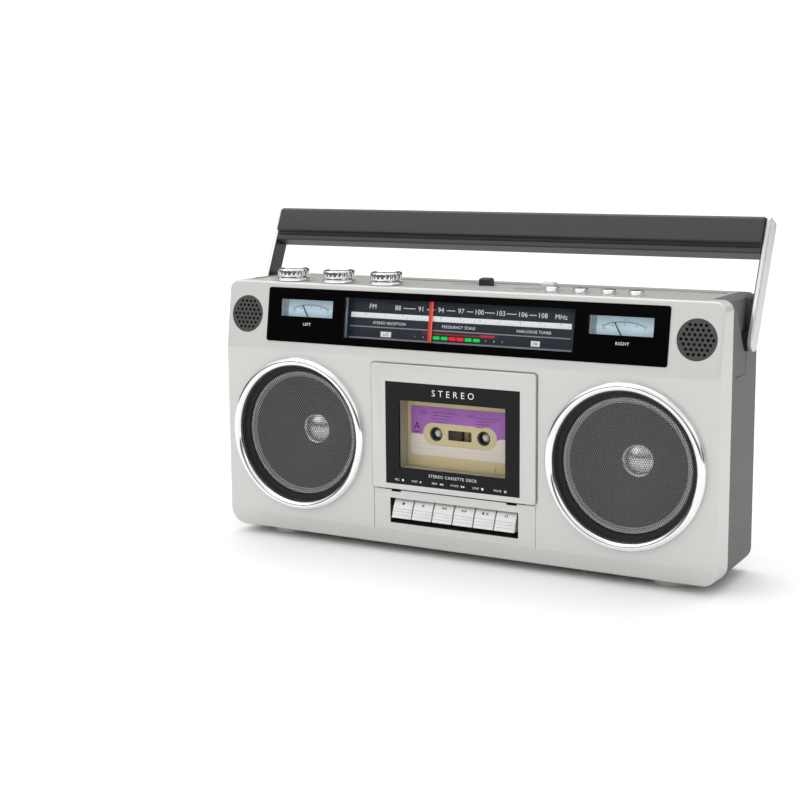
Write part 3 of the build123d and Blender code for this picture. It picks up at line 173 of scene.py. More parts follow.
def disc(x, y, radius, low, high, steps=24):
    """A round plate: x and y plus the radius times the cosine and sine of equal angles."""
    angle = np.arange(steps) * 2 * pi / steps
    return plate(np.column_stack([x + radius * np.cos(angle), y + radius * np.sin(angle)]), low, high)


def turned(profile, steps=96, swell=None):
    """A profile of radius and height turned about the upright axis, from its lowest ring to its
    highest, with a flat face over each end. The radius may swell round the circle row by row."""
    profile = np.asarray(profile, float)
    angle = np.arange(steps) * 2 * pi / steps
    swell = np.zeros(len(profile)) if swell is None else swell
    radius = profile[:, :1] * (1 + swell[:, None] * np.cos(FLUTES * angle))
    points = np.stack([radius * np.cos(angle), radius * np.sin(angle),
                       np.broadcast_to(profile[:, 1:], radius.shape)], -1).reshape(-1, 3)
    row, column = np.mgrid[0:len(profile) - 1, 0:steps]
    after = (column + 1) % steps
    quads = np.stack([row * steps + column, row * steps + after,
                      (row + 1) * steps + after, (row + 1) * steps + column], -1).reshape(-1, 4)
    last = (len(profile) - 1) * steps
    ends = [np.arange(steps)[::-1].tolist(), (last + np.arange(steps)).tolist()]
    return points, quads.tolist() + ends


def hoop(loop, steps=128):
    """A closed loop of radius and height turned about the upright axis, joined on itself both ways."""
    loop = np.asarray(loop, float)
    angle = np.arange(steps) * 2 * pi / steps
    points = np.stack([loop[:, :1] * np.cos(angle), loop[:, :1] * np.sin(angle),
                       np.broadcast_to(loop[:, 1:], (len(loop), steps))], -1).reshape(-1, 3)
    row, column = np.mgrid[0:len(loop), 0:steps]
    below, after = (row + 1) % len(loop), (column + 1) % steps
    quads = np.stack([row * steps + column, row * steps + after,
                      below * steps + after, below * steps + column], -1)
    return points, quads.reshape(-1, 4).tolist()


def perforated(radius, pitch, hole, thickness):
    """A sheet of six-sided cells on a triangular lattice, each with a six-sided hole through it.
    Where a cell has no neighbour, its outer edge gets a wall, so the sheet is closed."""
    reach = int(radius / pitch * 1.2) + 2
    i, j = np.mgrid[-reach:reach + 1, -reach:reach + 1]
    x, y = (i + j / 2) * pitch, j * pitch * sqrt(3) / 2
    kept = np.hypot(x, y) < radius - pitch * 0.6
    centres = np.column_stack([x[kept], y[kept]])
    angle = radians(-30) + np.arange(6) * pi / 3
    corner = np.column_stack([np.cos(angle), np.sin(angle)])
    outer = pitch / sqrt(3)
    rings = [centres[:, None] + corner * away for away in (outer, hole, hole, outer)]
    flat = np.stack(rings, 1)                                   # cell, ring, corner, x and y
    depth = np.broadcast_to(np.array([0, 0, -thickness, -thickness])[None, :, None, None],
                            flat.shape[:3] + (1,))
    points = np.concatenate([flat, depth], -1).reshape(-1, 3)
    base = np.arange(len(centres))[:, None] * 24
    here, after = np.arange(6), (np.arange(6) + 1) % 6
    cell = np.concatenate([np.stack([ring + here, ring + after, ring + 6 + after, ring + 6 + here], 1)
                           for ring in (0, 6, 12)])
    faces = (base[:, :, None] + cell[None]).reshape(-1, 4)
    steps = [(1, 0), (0, 1), (-1, 1), (-1, 0), (0, -1), (1, -1)]
    number = np.full(kept.shape, -1)
    number[kept] = np.arange(len(centres))
    walls = []
    for side, (di, dj) in enumerate(steps):
        alone = kept & ~np.roll(kept, (-di, -dj), (0, 1))
        first = number[alone][:, None] * 24
        walls.append(first + np.array([18 + side, 18 + (side + 1) % 6, (side + 1) % 6, side]))
    return points, np.concatenate([faces] + walls).tolist()


def lettering(rows, low, high):
    """Words as thin raised print: rows of text, x, y, size, and where wanted their side and spacing."""
    parts = []
    for text, x, y, size, *more in rows:
        curve = bpy.data.curves.new("words", "FONT")
        curve.body, curve.size, curve.resolution_u = text, size, 3
        curve.align_x = more[0] if more else "CENTER"
        curve.align_y = "CENTER"
        curve.space_character = more[1] if len(more) > 1 else 1.05
        curve.extrude = (high - low) / 2
        holder = bpy.data.objects.new("words", curve)
        bpy.context.scene.collection.objects.link(holder)
        bpy.context.view_layer.update()
        mesh = bpy.data.meshes.new_from_object(holder.evaluated_get(bpy.context.evaluated_depsgraph_get()))
        points = np.empty(len(mesh.vertices) * 3)
        mesh.vertices.foreach_get("co", points)
        parts.append((points.reshape(-1, 3) + (x, y, (low + high) / 2),
                      [list(face.vertices) for face in mesh.polygons]))
        bpy.data.objects.remove(holder)
        bpy.data.curves.remove(curve)
        bpy.data.meshes.remove(mesh)
    return joined(*parts)


def add_piece(name, shape, place, finish, body, smooth=0):
    """Puts a shape into a new object: its points through the place's matrix, its doubles merged."""
    points, faces = shape
    matrix = np.array(place)
    mesh = bpy.data.meshes.new(name)
    mesh.from_pydata((points @ matrix[:3, :3].T + matrix[:3, 3]).tolist(), [], faces)
    form = bmesh.new()
    form.from_mesh(mesh)
    bmesh.ops.remove_doubles(form, verts=form.verts, dist=1e-7)
    form.to_mesh(mesh)
    form.free()
    piece = bpy.data.objects.new(name, mesh)
    return settle(piece, finish, body, smooth)


def settle(piece, finish, body, smooth):
    """Links a piece, gives it its finish, shades it smooth up to an angle and puts it on its body."""
    bpy.context.scene.collection.objects.link(piece)
    piece.data.materials.clear()
    piece.data.materials.append(finish)
    if smooth:
        piece.data.shade_smooth()
        piece.data.set_sharp_from_angle(angle=radians(smooth))
    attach(piece, body)
    return piece


def softened(node, finish, width, name=None):
    """A copy of a CAD node with rounded edges: its doubles are merged, flat neighbours become one
    face, and a bevel of the given width runs along every edge sharper than 30 degrees."""
    source = frame["nodes"][node]
    mesh = source.data.copy()
    form = bmesh.new()
    form.from_mesh(mesh)
    bmesh.ops.remove_doubles(form, verts=form.verts, dist=2e-6)
    bmesh.ops.dissolve_limit(form, angle_limit=radians(0.5), verts=form.verts, edges=form.edges)
    form.to_mesh(mesh)
    form.free()
    piece = bpy.data.objects.new(name or node + "_rounded", mesh)
    settle(piece, finish, source["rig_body"], 35)
    bevel = piece.modifiers.new("edges", "BEVEL")
    bevel.width, bevel.segments, bevel.limit_method = width * MM, 3, "ANGLE"
    bevel.angle_limit, bevel.harden_normals = radians(30), True
    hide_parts(node)
    return piece


# ---------------------------------------------------------------- Shader expressions
class Tie:
    """A socket that comes out of a node. Arithmetic on it adds Math nodes to the same tree."""

    def __init__(self, tree, socket):
        self.tree, self.socket = tree, socket

    def math(self, operation, *terms):
        made = self.tree.nodes.new("ShaderNodeMath")
        made.operation = operation
        for entry, term in zip(made.inputs, terms):
            put(self.tree, entry, term)
        return Tie(self.tree, made.outputs[0])

    def __add__(self, other):
        return self.math("ADD", self, other)

    def __sub__(self, other):
        return self.math("SUBTRACT", self, other)

    def __rsub__(self, other):
        return self.math("SUBTRACT", other, self)

    def __mul__(self, other):
        return self.math("MULTIPLY", self, other)

    def __truediv__(self, other):
        return self.math("DIVIDE", self, other)

    def __gt__(self, other):
        return self.math("GREATER_THAN", self, other)

    def __lt__(self, other):
        return self.math("LESS_THAN", self, other)

    def __abs__(self):
        return self.math("ABSOLUTE", self)

    __radd__, __rmul__ = __add__, __mul__

    def root(self):
        return self.math("SQRT", self)

    def either(self, other):
        return self.math("MAXIMUM", self, other)

    def ramp(self, low, high):
        """From 0 at low to 1 at high, kept between them."""
        made = self.tree.nodes.new("ShaderNodeMapRange")
        for entry, term in zip(made.inputs, (self, low, high)):
            put(self.tree, entry, term)
        return Tie(self.tree, made.outputs[0])


def put(tree, entry, value):
    """Links a tie to a socket, or sets the socket's own value. A hex code stands for its colour."""
    if isinstance(value, Tie):
        tree.links.new(value.socket, entry)
    else:
        entry.default_value = linear(value) if isinstance(value, str) else value


class Finish:
    """A material and the nodes that read where a point lies on its piece, in millimetres."""

    def __init__(self, name):
        self.material = bpy.data.materials.new(name)
        self.material.use_nodes = True
        self.tree = self.material.node_tree
        self.shader = self.tree.nodes["Principled BSDF"]
        self.spot = self.node("TexCoord", output="Object")
        parts = self.tree.nodes.new("ShaderNodeSeparateXYZ")
        put(self.tree, parts.inputs[0], self.spot)
        self.x, self.y, self.z = (Tie(self.tree, parts.outputs[k]) * 1000 for k in range(3))

    def node(self, kind, settings=(), sockets=(), output=0):
        """Any other node: its type, its settings, which are set first, and its sockets' values."""
        made = self.tree.nodes.new("ShaderNode" + kind)
        for name, value in dict(settings).items():
            setattr(made, name, value)
        for name, value in dict(sockets).items():
            put(self.tree, made.inputs[name], value)
        return Tie(self.tree, made.outputs[output])

    def noise(self, grain, detail=3, stretch=(1, 1, 1)):
        """Noise from 0 to 1 with patches about grain millimetres across, drawn out where stretched."""
        spot = self.node("Mapping", sockets={"Vector": self.spot, "Scale": stretch})
        return self.node("TexNoise", sockets={"Vector": spot, "Scale": 1000 / grain, "Detail": detail})

    def blend(self, factor, low, high):
        """A colour between two others."""
        return self.node("Mix", {"data_type": "RGBA"}, {0: factor, 6: low, 7: high}, 2)

    def bump(self, height, reach):
        """A normal from a height of 0 to 1 that stands for reach millimetres."""
        return self.node("Bump", sockets={"Height": height, "Distance": reach * MM, "Strength": 1.0})

    def within(self, x0, x1, z0, z1):
        """1 inside an upright rectangle and 0 outside it."""
        x, z = (x0 + x1) / 2, (z0 + z1) / 2
        return (abs(self.x - x) < (x1 - x0) / 2) * (abs(self.z - z) < (z1 - z0) / 2)

    def radius(self, x, z):
        """Distance from an axis that runs front to back."""
        across, up = self.x - x, self.z - z
        return (across * across + up * up).root()

    def set(self, **values):
        for name, value in values.items():
            put(self.tree, self.shader.inputs[name.replace("_", " ")], value)
        return self.material


def shade(colour, factor):
    """A colour or a hex code made lighter or darker by a factor."""
    colour = linear(colour) if isinstance(colour, str) else colour
    return tuple(min(1.0, part * factor) for part in colour[:3]) + (1.0,)


def plain(name, colour, rough, metal=0.0, grain=0.5, depth=0.01, tint=0.06, coat=0.0, stretch=(1, 1, 1)):
    """A finish with its own grain: broad and fine noise move its colour, gloss and surface a little."""
    made = Finish(name)
    fine, broad = made.noise(grain, 3, stretch), made.noise(38, 4)
    mixed = fine * 0.55 + broad * 0.45
    made.set(Base_Color=made.blend(mixed, shade(colour, 1 - tint), shade(colour, 1 + tint)),
             Roughness=mixed * 0.16 + (rough - 0.08), Metallic=metal, Coat_Weight=coat,
             Normal=made.bump(fine, depth))
    return made


def coat_node(finish, *nodes):
    """Gives CAD nodes their finish."""
    for node in nodes:
        slots = frame["nodes"][node].data.materials
        for number in range(len(slots)):
            slots[number] = finish


def paint(name, code, rough, nodes, *rest, **more):
    """Gives CAD nodes a plain finish of their own, from a hex code."""
    coat_node(plain(name, code, rough, *rest, **more).material, *nodes.split())


# ---------------------------------------------------------------- Settings
def colour_setting(name, description, code):
    """A colour that a user can set, from its hex code."""
    return bpy.props.FloatVectorProperty(name=name, description=description, subtype="COLOR", size=4,
                                         min=0, max=1, default=linear(code))


def number(name, description, default, low=0.0, high=300.0, **kind):
    """A number that a user can set."""
    return bpy.props.FloatProperty(name=name, description=description, default=default, min=low, max=high,
                                   **kind)


def angle_setting(name, description, default):
    """An angle that a user can set."""
    return number(name, description, default, -pi, pi, subtype="ANGLE")


class RadioColours(bpy.types.PropertyGroup):
    """Colours that a user would change."""
    silver: colour_setting("Silver", "Paint of the front and the door", "#CFCFCC")
    dark: colour_setting("Dark grey", "Moulded rear shell", "#5B5B59")
    top: colour_setting("Top panel", "Panel that holds the controls", "#B9B8B3")
    mesh: colour_setting("Speaker mesh", "Perforated sheet over the woofers", "#303030")
    cone: colour_setting("Cone", "Woofer paper", "#7C7C7A")
    dial: colour_setting("Dial", "Ground of the tuning scale", "#15202B")
    meter: colour_setting("Meter", "Lit face of the level meters", "#A9BFC9")
    print_white: colour_setting("Print", "White words and lines", "#E8ECEE")
    purple: colour_setting("Label purple", "Upper half of the cassette label", "#AE6FC4")
    cream: colour_setting("Label cream", "Lower half of the cassette label", "#EFE6DC")
    beige: colour_setting("Cassette shell", "Moulded cassette", "#DCCD9E")
    tray: colour_setting("Tray", "Holder behind the door", "#A09C88")
    floor: colour_setting("Floor", "Studio floor", "#F4F4F4")


class RadioSizes(bpy.types.PropertyGroup):
    """Sizes of the fine pieces."""
    mesh_pitch: number("Mesh pitch", "Distance between two holes in millimetres", 1.9, 1.5, 6)
    mesh_hole: number("Mesh hole", "Radius of a hole's corners in millimetres", 0.95, 0.2, 3)
    print_height: number("Print height", "How far ink stands up in millimetres", 0.04, 0.01, 0.2)
    edge: number("Edge", "Rounding of moulded edges in millimetres", 0.45, 0.05, 1.5)


class RadioStage(bpy.types.PropertyGroup):
    """Camera and lights."""
    camera_place: bpy.props.FloatVectorProperty(name="Camera", description="Where the camera stands",
                                                subtype="TRANSLATION", unit="LENGTH", size=3,
                                                default=(0.58212, -1.12445, 0.33591))
    turn: angle_setting("Turn", "Camera turned from straight ahead", radians(30.354))
    dip: angle_setting("Dip", "Camera tipped down", radians(9.543))
    roll: angle_setting("Roll", "Camera rolled about its view", 0.0099)
    lens: number("Lens", "Focal length on a 36 mm sensor", 71.6, 10, subtype="DISTANCE_CAMERA")
    key: number("Key light", "Large soft light from the front left", 8.0, unit="POWER")
    fill: number("Fill light", "Soft light from the right", 2.5, unit="POWER")
    sun: number("Top light", "Strength of the broad soft light from above", 1.15)
    sky: number("Surround", "Strength of the pale surround", 0.62, 0, 3)


def colours():
    """The colours set in the scene."""
    return bpy.context.scene.radio_colours


def sizes():
    """The sizes set in the scene."""
    return bpy.context.scene.radio_sizes


def ink(name, colour, glow=0.0):
    """Screen-printed ink: a little mottled, matt, and where a glow is given, glowing with painted light from
    behind.
    """
    made = Finish(name)
    speck = made.noise(0.35, 2)
    made.set(Base_Color=made.blend(speck, shade(colour, 0.88), shade(colour, 1.05)),
             Roughness=speck * 0.2 + 0.42)
    # Painted light: the ink glows in its own colour.
    if glow:
        made.set(Emission_Color=colour, Emission_Strength=glow)
    return made.material


# ---------------------------------------------------------------- Finishes of the carried-over nodes
class RADIO_OT_case(bpy.types.Operator):
    """Silver paint with fine flakes, painted shade in the groove round the door and towards the bottom,
    grained dark plastic, and the fittings on the case.
    """
    bl_idname = "radio.case"
    bl_label = "Case finishes"

    def execute(self, context):
        tones = colours()
        silver = Finish("silver paint")
        flake, broad = silver.noise(0.22, 2), silver.noise(60, 3)
        # Painted shade: a mottled darkening towards the bottom of the front, where the lower band faces down.
        low_shade = silver.z.ramp(26, 8) * silver.noise(3, 4)
        body = silver.blend(flake * 0.6 + broad * 0.4, shade(tones.silver, 0.93), shade(tones.silver, 1.04))
        depth = silver.y - panel_y / MM
        # Painted shade: where the paint lies deeper than the panel round the door and the key well, it is
        # painted dark grey.
        groove_shade = (depth > GROOVE_START) * silver.within(*GROOVE)
        body = silver.blend(groove_shade, body, "#3E3E3D")
        silver.set(Base_Color=silver.blend(low_shade * 0.3, body, "#8B8A84"),
                   Roughness=flake * 0.14 + broad * 0.08 + 0.30, Metallic=0.38, Coat_Weight=0.15,
                   Normal=silver.bump(flake, 0.004))
        coat_node(silver.material, "front_shell")
        dark = Finish("grained dark plastic")
        grain = dark.noise(0.55, 4)
        rub = dark.noise(24, 5)
        worn = rub * 0.6 + grain * 0.4
        dark.set(Base_Color=dark.blend(worn, shade(tones.dark, 0.86), shade(tones.dark, 1.12)),
                 Roughness=grain * 0.18 + rub * 0.12 + 0.42, Normal=dark.bump(grain, 0.05))
        coat_node(dark.material, "rear_shell", "battery_hatch")
        top = plain("top panel paint", tones.top, 0.38, 0.35, 0.25, 0.005, 0.05)
        coat_node(top.material, "top_panel")
        paint("grey rubber", "#C9C8C4", 0.7, "rubber_feet", 0, 0.6, 0.04, 0.08)
        paint("plated screws", "#8E8E8C", 0.32, "case_screws", 1.0, 0.3, 0.01, 0.12)
        return {"FINISHED"}


class RADIO_OT_chrome(bpy.types.Operator):
    """Bright chrome with faint haze for the rings, buttons, knobs and the aerial."""
    bl_idname = "radio.chrome"
    bl_label = "Chrome"

    def execute(self, context):
        chrome = Finish("chrome")
        haze, spots = chrome.noise(14, 4), chrome.noise(0.8, 3)
        chrome.set(Base_Color=chrome.blend(haze, "#D8D9DB", "#F2F2F2"), Metallic=1.0,
                   Roughness=haze * 0.07 + spots * 0.04 + 0.05, Normal=chrome.bump(haze, 0.01))
        coat_node(chrome.material, "speaker_rings", "aerial_tube", "aerial_rod",
                  *(name + "_button" for name in BUTTON_XS))
        return {"FINISHED"}


class RADIO_OT_speakers(bpy.types.Operator):
    """Perforated mesh over the woofers, and the finishes of the cones, frames and tweeter grilles."""
    bl_idname = "radio.speakers"
    bl_label = "Speakers"

    def execute(self, context):
        tones, size = colours(), sizes()
        sheet = Finish("mesh paint")
        speck = sheet.noise(0.5, 3)
        sheet.set(Base_Color=sheet.blend(speck, shade(tones.mesh, 0.8), shade(tones.mesh, 1.3)),
                  Roughness=speck * 0.2 + 0.36, Metallic=0.3, Normal=sheet.bump(speck, 0.01))
        low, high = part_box("speaker_grilles")
        radius = (high.z - low.z) / 2 / MM
        front = (panel_y - low.y) / MM
        sag = (high.y - low.y) / MM - 0.8
        points, faces = perforated(radius - 0.6, size.mesh_pitch, size.mesh_hole, MESH_DEPTH)
        inside, outside = radius - RIM_WIDTH, radius - 0.05
        rim = hoop([(inside, -0.8), (outside, -0.8), (outside, 0.0), (inside, 0.0)])
        points, faces = joined((points, faces), rim)
        points[:, 2] += front - sag * (points[:, 0] ** 2 + points[:, 1] ** 2) / radius ** 2
        for side, name in ((-1, "left"), (1, "right")):
            shape = points + (side * SPEAKER_X, SPEAKER_Z, 0), faces
            made = add_piece("speaker_mesh_" + name, shape, FRONT, sheet.material, "case")
            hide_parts("speaker_grilles")
        for side, name in ((-1, "left"), (1, "right")):
            cone = Finish("woofer paper " + name)
            out = cone.radius(side * SPEAKER_X, SPEAKER_Z)
            fibre = cone.noise(0.9, 4)
            wave = cone.node("Math", {"operation": "SINE"}, {0: out * 2.1})
            ribs = wave * (out > RIB_LOW) * (out < RIB_HIGH)
            cap, roll = out < CAP_RADIUS, out > ROLL_RADIUS
            paper = cone.blend(fibre, shade(tones.cone, 0.75), shade(tones.cone, 1.35))
            paper = cone.blend(roll, paper, "#D6D6D4")
            cone.set(Base_Color=cone.blend(cap, paper, "#F2F2F0"), Metallic=cap * 0.85,
                     Roughness=fibre * 0.2 + 0.5 - cap * 0.35,
                     Normal=cone.bump(fibre * 0.4 + ribs * 0.3, 0.12))
            coat_node(cone.material, "woofer_cone_" + name)
        paint("tweeter grille paint", "#444443", 0.45, "tweeter_grilles", 0.2, 0.4, 0.01, 0.1)
        paint("stamped steel", "#3C3C3B", 0.4, "speaker_drivers", 0.8, 1.2, 0.02, 0.1)
        return {"FINISHED"}


class RADIO_OT_dial(bpy.types.Operator):
    """The tuning scale: its blue ground, numbers, white strip, lines, lamps and red pointer."""
    bl_idname = "radio.dial"
    bl_label = "Tuning scale"

    def execute(self, context):
        tones, height = colours(), sizes().print_height
        ground = Finish("dial ground")
        grain = ground.noise(0.5, 3)
        out = ground.y * -cos(lean) + ground.z * sin(lean) \
            + (panel_y / MM * cos(lean) - CREASE_HEIGHT * sin(lean))
        lamp = (out > DIAL_FACE + 0.2) * ground.within(-23, 21, 175, 181)
        red = ground.within(-8.9, 5.4, 170, 185)
        wall = (out > DIAL_FACE + 0.1) * (abs(ground.x) > DIAL_HALF + 0.2)
        glow = ground.blend(red, "#17B24C", "#D8202A")
        face = ground.blend(grain, shade(tones.dial, 0.75), shade(tones.dial, 1.3))
        face = ground.blend(wall, face, "#A9ADB2")
        # Painted light: the ground glows faintly in a dark tone of its own colour; the lamp blocks glow green
        # and red.
        ground.set(Base_Color=ground.blend(lamp, face, glow), Roughness=grain * 0.15 + 0.42 - lamp * 0.3,
                   Emission_Color=ground.blend(lamp, shade(tones.dial, 0.35), glow), Emission_Strength=0.9)
        coat_node(ground.material, "dial_plate")
        base = DIAL_FACE
        white, grey = ink("white ink", tones.print_white, 0.25), ink("silver ink", "#9BA0A6")
        dark, rule = ink("dark ink", "#20262D"), ink("red ink", "#B31622", 0.5)
        places = {88: -55.7, 91: -34.4, 94: -16.6, 97: 1.2, 100: 17.0, 103: 35.6, 106: 54.4, 108: 71.2}
        words = [(str(number), x, up_band(199.2), 5.4) for number, x in places.items()]
        words += [("FM", -78.9, up_band(199.4), 5.4), ("MHz", 86.5, up_band(198.9), 5.2)]
        words += [(text, x, up_band(186.6), 3.1, "CENTER", 1.1) for text, x in
                  (("STEREO RECEPTION", -62.8), ("FREQUENCY SCALE", -0.2), ("ANALOGUE TUNER", 64.5))]
        words += [(text, x, up_band(177.6), 1.9) for text, x in
                  (("1", -38.5), ("3", -31.2), ("7", 24.3), ("8", 31.5), ("9", 38.6))]
        spots = sorted(places.values())
        dashes = [(a + 5.2, b - 5.2, up_band(199.0), up_band(199.5)) for a, b in zip(spots, spots[1:])
                  if b - a > 11.5]
        boxes = [(-70.2, -60.5, up_band(175.8), up_band(180.0)), (62.8, 70.3, up_band(175.8), up_band(180.0))]
        strip = [(-99.0, 95.5, up_band(190.3), up_band(194.4))]
        bars = plates(dashes + boxes + strip, base, base + height)
        add_piece("dial_print", joined(lettering(words, base, base + height), bars), BAND, white, "case")
        steps = np.arange(-96.5, 94, 2.5)
        long = (np.arange(len(steps)) % 4 == 0) * 0.9
        ticks = np.column_stack([steps - 0.12, steps + 0.12, np.full(len(steps), up_band(190.8)),
                                 up_band(191.5) + long])
        small = [(str(number), x, up_band(193.2), 1.9) for number, x in enumerate(np.linspace(-85, 87, 11))]
        small += [("LO", -65.35, up_band(177.9), 3.4), ("HI", 66.55, up_band(177.9), 3.4)]
        add_piece("dial_log_marks", joined(lettering(small, base + height, base + 2 * height),
                                           plates(ticks, base + height, base + 2 * height)),
                  BAND, dark, "case")
        lines = [(-100.5, 96.5, up_band(173.4), up_band(174.9)),
                 (-99.0, 95.5, up_band(182.9), up_band(183.7))]
        add_piece("dial_lines", plates(lines, base, base + height * 2.5), BAND, grey, "case")
        lines = [(-31.9, 19.2, up_band(180.5), up_band(181.0)), (19.2, 31.5, up_band(180.2), up_band(181.9))]
        add_piece("dial_red_line", plates(lines, base, base + height), BAND, rule, "case")
        pointer = Finish("pointer paint")
        streak = pointer.noise(1.5, 2)
        # Painted light: right of x -23.2 the pointer is painted bright, left of x -24 deep red, and the whole
        # pointer glows.
        edge = pointer.x.ramp(-24.0, -23.2)
        pointer.set(Base_Color=pointer.blend(streak * 0.3 + edge * 0.7, "#8E2A2C", "#FF7A6C"),
                    Roughness=streak * 0.1 + 0.25, Emission_Color="#E8473F", Emission_Strength=0.35)
        coat_node(pointer.material, "dial_pointer")
        return {"FINISHED"}


class RADIO_OT_window(bpy.types.Operator):
    """The long tuner window: black gloss with clear openings, and the captions printed on it."""
    bl_idname = "radio.window"
    bl_label = "Tuner window"

    def execute(self, context):
        tones, height = colours(), sizes().print_height
        window = Finish("black window")
        clear = window.within(-DIAL_HALF + 0.6, DIAL_HALF - 0.6, DIAL_LOW + 0.4, DIAL_HIGH - 0.4)
        for side in (-1, 1):
            middle, half = side * METER_X, METER_HALF - 0.6
            clear = clear.either(window.within(middle - half, middle + half,
                                               METER_LOW + 0.5, METER_HIGH - 0.5))
        smear = window.noise(22, 4)
        window.set(Base_Color=window.blend(smear, "#050506", "#0B0B0D"),
                   Specular_IOR_Level=0.2, Roughness=smear * 0.06 + 0.03, Alpha=1 - clear * 0.93)
        coat_node(window.material, "tuner_window")
        white = ink("window captions", tones.print_white)
        words = [("LEFT", -136.3, up_band(181.8), 3.4, "CENTER", 1.15),
                 ("RIGHT", 139.8, up_band(181.8), 3.4, "CENTER", 1.15)]
        add_piece("window_captions", lettering(words, WINDOW_FRONT, WINDOW_FRONT + height), BAND, white,
                  "case")
        return {"FINISHED"}


class RADIO_OT_meters(bpy.types.Operator):
    """Pale faces of the two level meters with painted light and glow, and their arcs, ticks and numbers."""
    bl_idname = "radio.meters"
    bl_label = "Level meters"

    def execute(self, context):
        tones, height = colours(), sizes().print_height
        paint("white tray", "#D5DADC", 0.5, "meter_cases")
        paint("needle black", "#1A1C20", 0.4, "meter_needle_left meter_needle_right")
        dark = ink("meter ink", "#24323C")
        red = ink("meter red ink", "#B8323A")
        for side, name in ((-1, "left"), (1, "right")):
            face = Finish("lit meter face " + name)
            cloud = face.noise(9, 3)
            # Painted light and shade: each face is brighter in a band near its foot, darker at its left edge,
            # and glows in the same tones.
            left = (face.x - side * METER_X).ramp(-METER_HALF + 4.6, -METER_HALF + 3.8)
            middle = 1 - abs(face.z - (METER_LOW + 5)) / 11
            lit = middle * 0.8 + cloud * 0.3 - left * 0.8
            tone = face.blend(lit.ramp(0.0, 1.0), shade(tones.meter, 0.50), shade(tones.meter, 1.25))
            face.set(Base_Color=tone, Roughness=cloud * 0.1 + 0.4, Emission_Color=tone,
                     Emission_Strength=0.45)
            x, low, high = side * METER_X, up_band(METER_LOW), up_band(METER_HIGH)
            board = plate(rounded(x - METER_HALF, x + METER_HALF, low - 4.5, high, 0.8), METER_FACE,
                          METER_FACE + 0.15)
            add_piece("meter_face_" + name, board, BAND, face.material, "case")
            top = METER_FACE + 0.15
            pivot, angle = low - 2.6, np.radians(np.linspace(-52, 52, 21))
            arc = np.column_stack([x + 15.2 * np.sin(angle) * 1.45, pivot + 13.4 * np.cos(angle * 0.85)])
            width = 0.22
            bow = np.concatenate([arc + (0, width), (arc - (0, width))[::-1]])[::-1]
            ticks = np.column_stack([arc[:, 0] - 0.12, arc[:, 0] + 0.12, arc[:, 1],
                                     arc[:, 1] + 1.0 + 0.9 * (np.arange(21) % 5 == 0)])
            numbers = [(text, arc[k, 0], arc[k, 1] - 1.9, 2.3) for text, k in
                       (("20", 1), ("10", 5), ("5", 10), ("0", 15), ("3", 19))]
            add_piece("meter_scale_" + name,
                      joined(plate(bow, top, top + height), plates(ticks[:15], top, top + height),
                             lettering(numbers, top, top + height)), BAND, dark, "case")
            add_piece("meter_red_zone_" + name, plates(ticks[15:] + (0, 0, 0, 0.6), top, top + height), BAND,
                      red, "case")
        return {"FINISHED"}


class RADIO_OT_door(bpy.types.Operator):
    """The cassette door: rounded silver frame, black-bordered pane and its words and symbols."""
    bl_idname = "radio.door"
    bl_label = "Cassette door"

    def execute(self, context):
        tones, size = colours(), sizes()
        silver = bpy.data.materials["silver paint"]
        softened("door_frame", silver, size.edge)
        pane = Finish("bordered pane")
        clear = pane.within(-VIEW_HALF, VIEW_HALF, VIEW_LOW, VIEW_HIGH)
        smear = pane.noise(18, 4)
        pane.set(Base_Color=pane.blend(smear, "#0A0A0B", "#131314"),
                 Specular_IOR_Level=0.2, Roughness=smear * 0.06 + 0.04, Alpha=1 - clear * 0.93)
        coat_node(pane.material, "door_window")
        white = ink("door ink", tones.print_white)
        up = size.print_height
        words = [("STEREO", 1.5, 134.2, 7.2, "CENTER", 1.7),
                 ("STEREO CASSETTE DECK", 1.0, 67.9, 3.3, "CENTER", 1.2)]
        names = ("REC", "PLAY", "REW", "F.FWD", "STOP", "PAUSE")
        centres = (-46.5, -30.5, -12.5, 5.5, 24.0, 43.0)
        words += [(name, x - 2.6, 62.3, 2.3) for name, x in zip(names, centres)]
        signs = [disc(centres[0] + 2.6, 62.3, 0.95, 0, up)]
        for x, way in ((centres[1] + 3.0, 1), (centres[2] + 2.6, -1), (centres[2] + 4.4, -1),
                       (centres[3] + 3.8, 1), (centres[3] + 5.6, 1)):
            signs.append(plate(arrow(x, 62.3, way), 0, up))
        signs.append(plates([(centres[4] + 2.4, centres[4] + 4.2, 61.4, 63.2),
                             (centres[5] + 3.2, centres[5] + 3.8, 61.3, 63.3),
                             (centres[5] + 4.4, centres[5] + 5.0, 61.3, 63.3)], 0, up))
        add_piece("door_words", joined(lettering(words, 0, up), *signs), PANE, white, "door")
        return {"FINISHED"}


def arrow(x, y, way, size=0.95):
    """A triangle that points along way, anticlockwise from outside."""
    tip = [(x - way * size * 0.85, y - size), (x + way * size * 0.85, y), (x - way * size * 0.85, y + size)]
    return tip if way > 0 else tip[::-1]


def arrows(x, way, up):
    """Two triangles side by side that point along way."""
    return [plate(arrow(x + step, 0, way, 1.2), 0, up) for step in (-1.2, 1.2)]


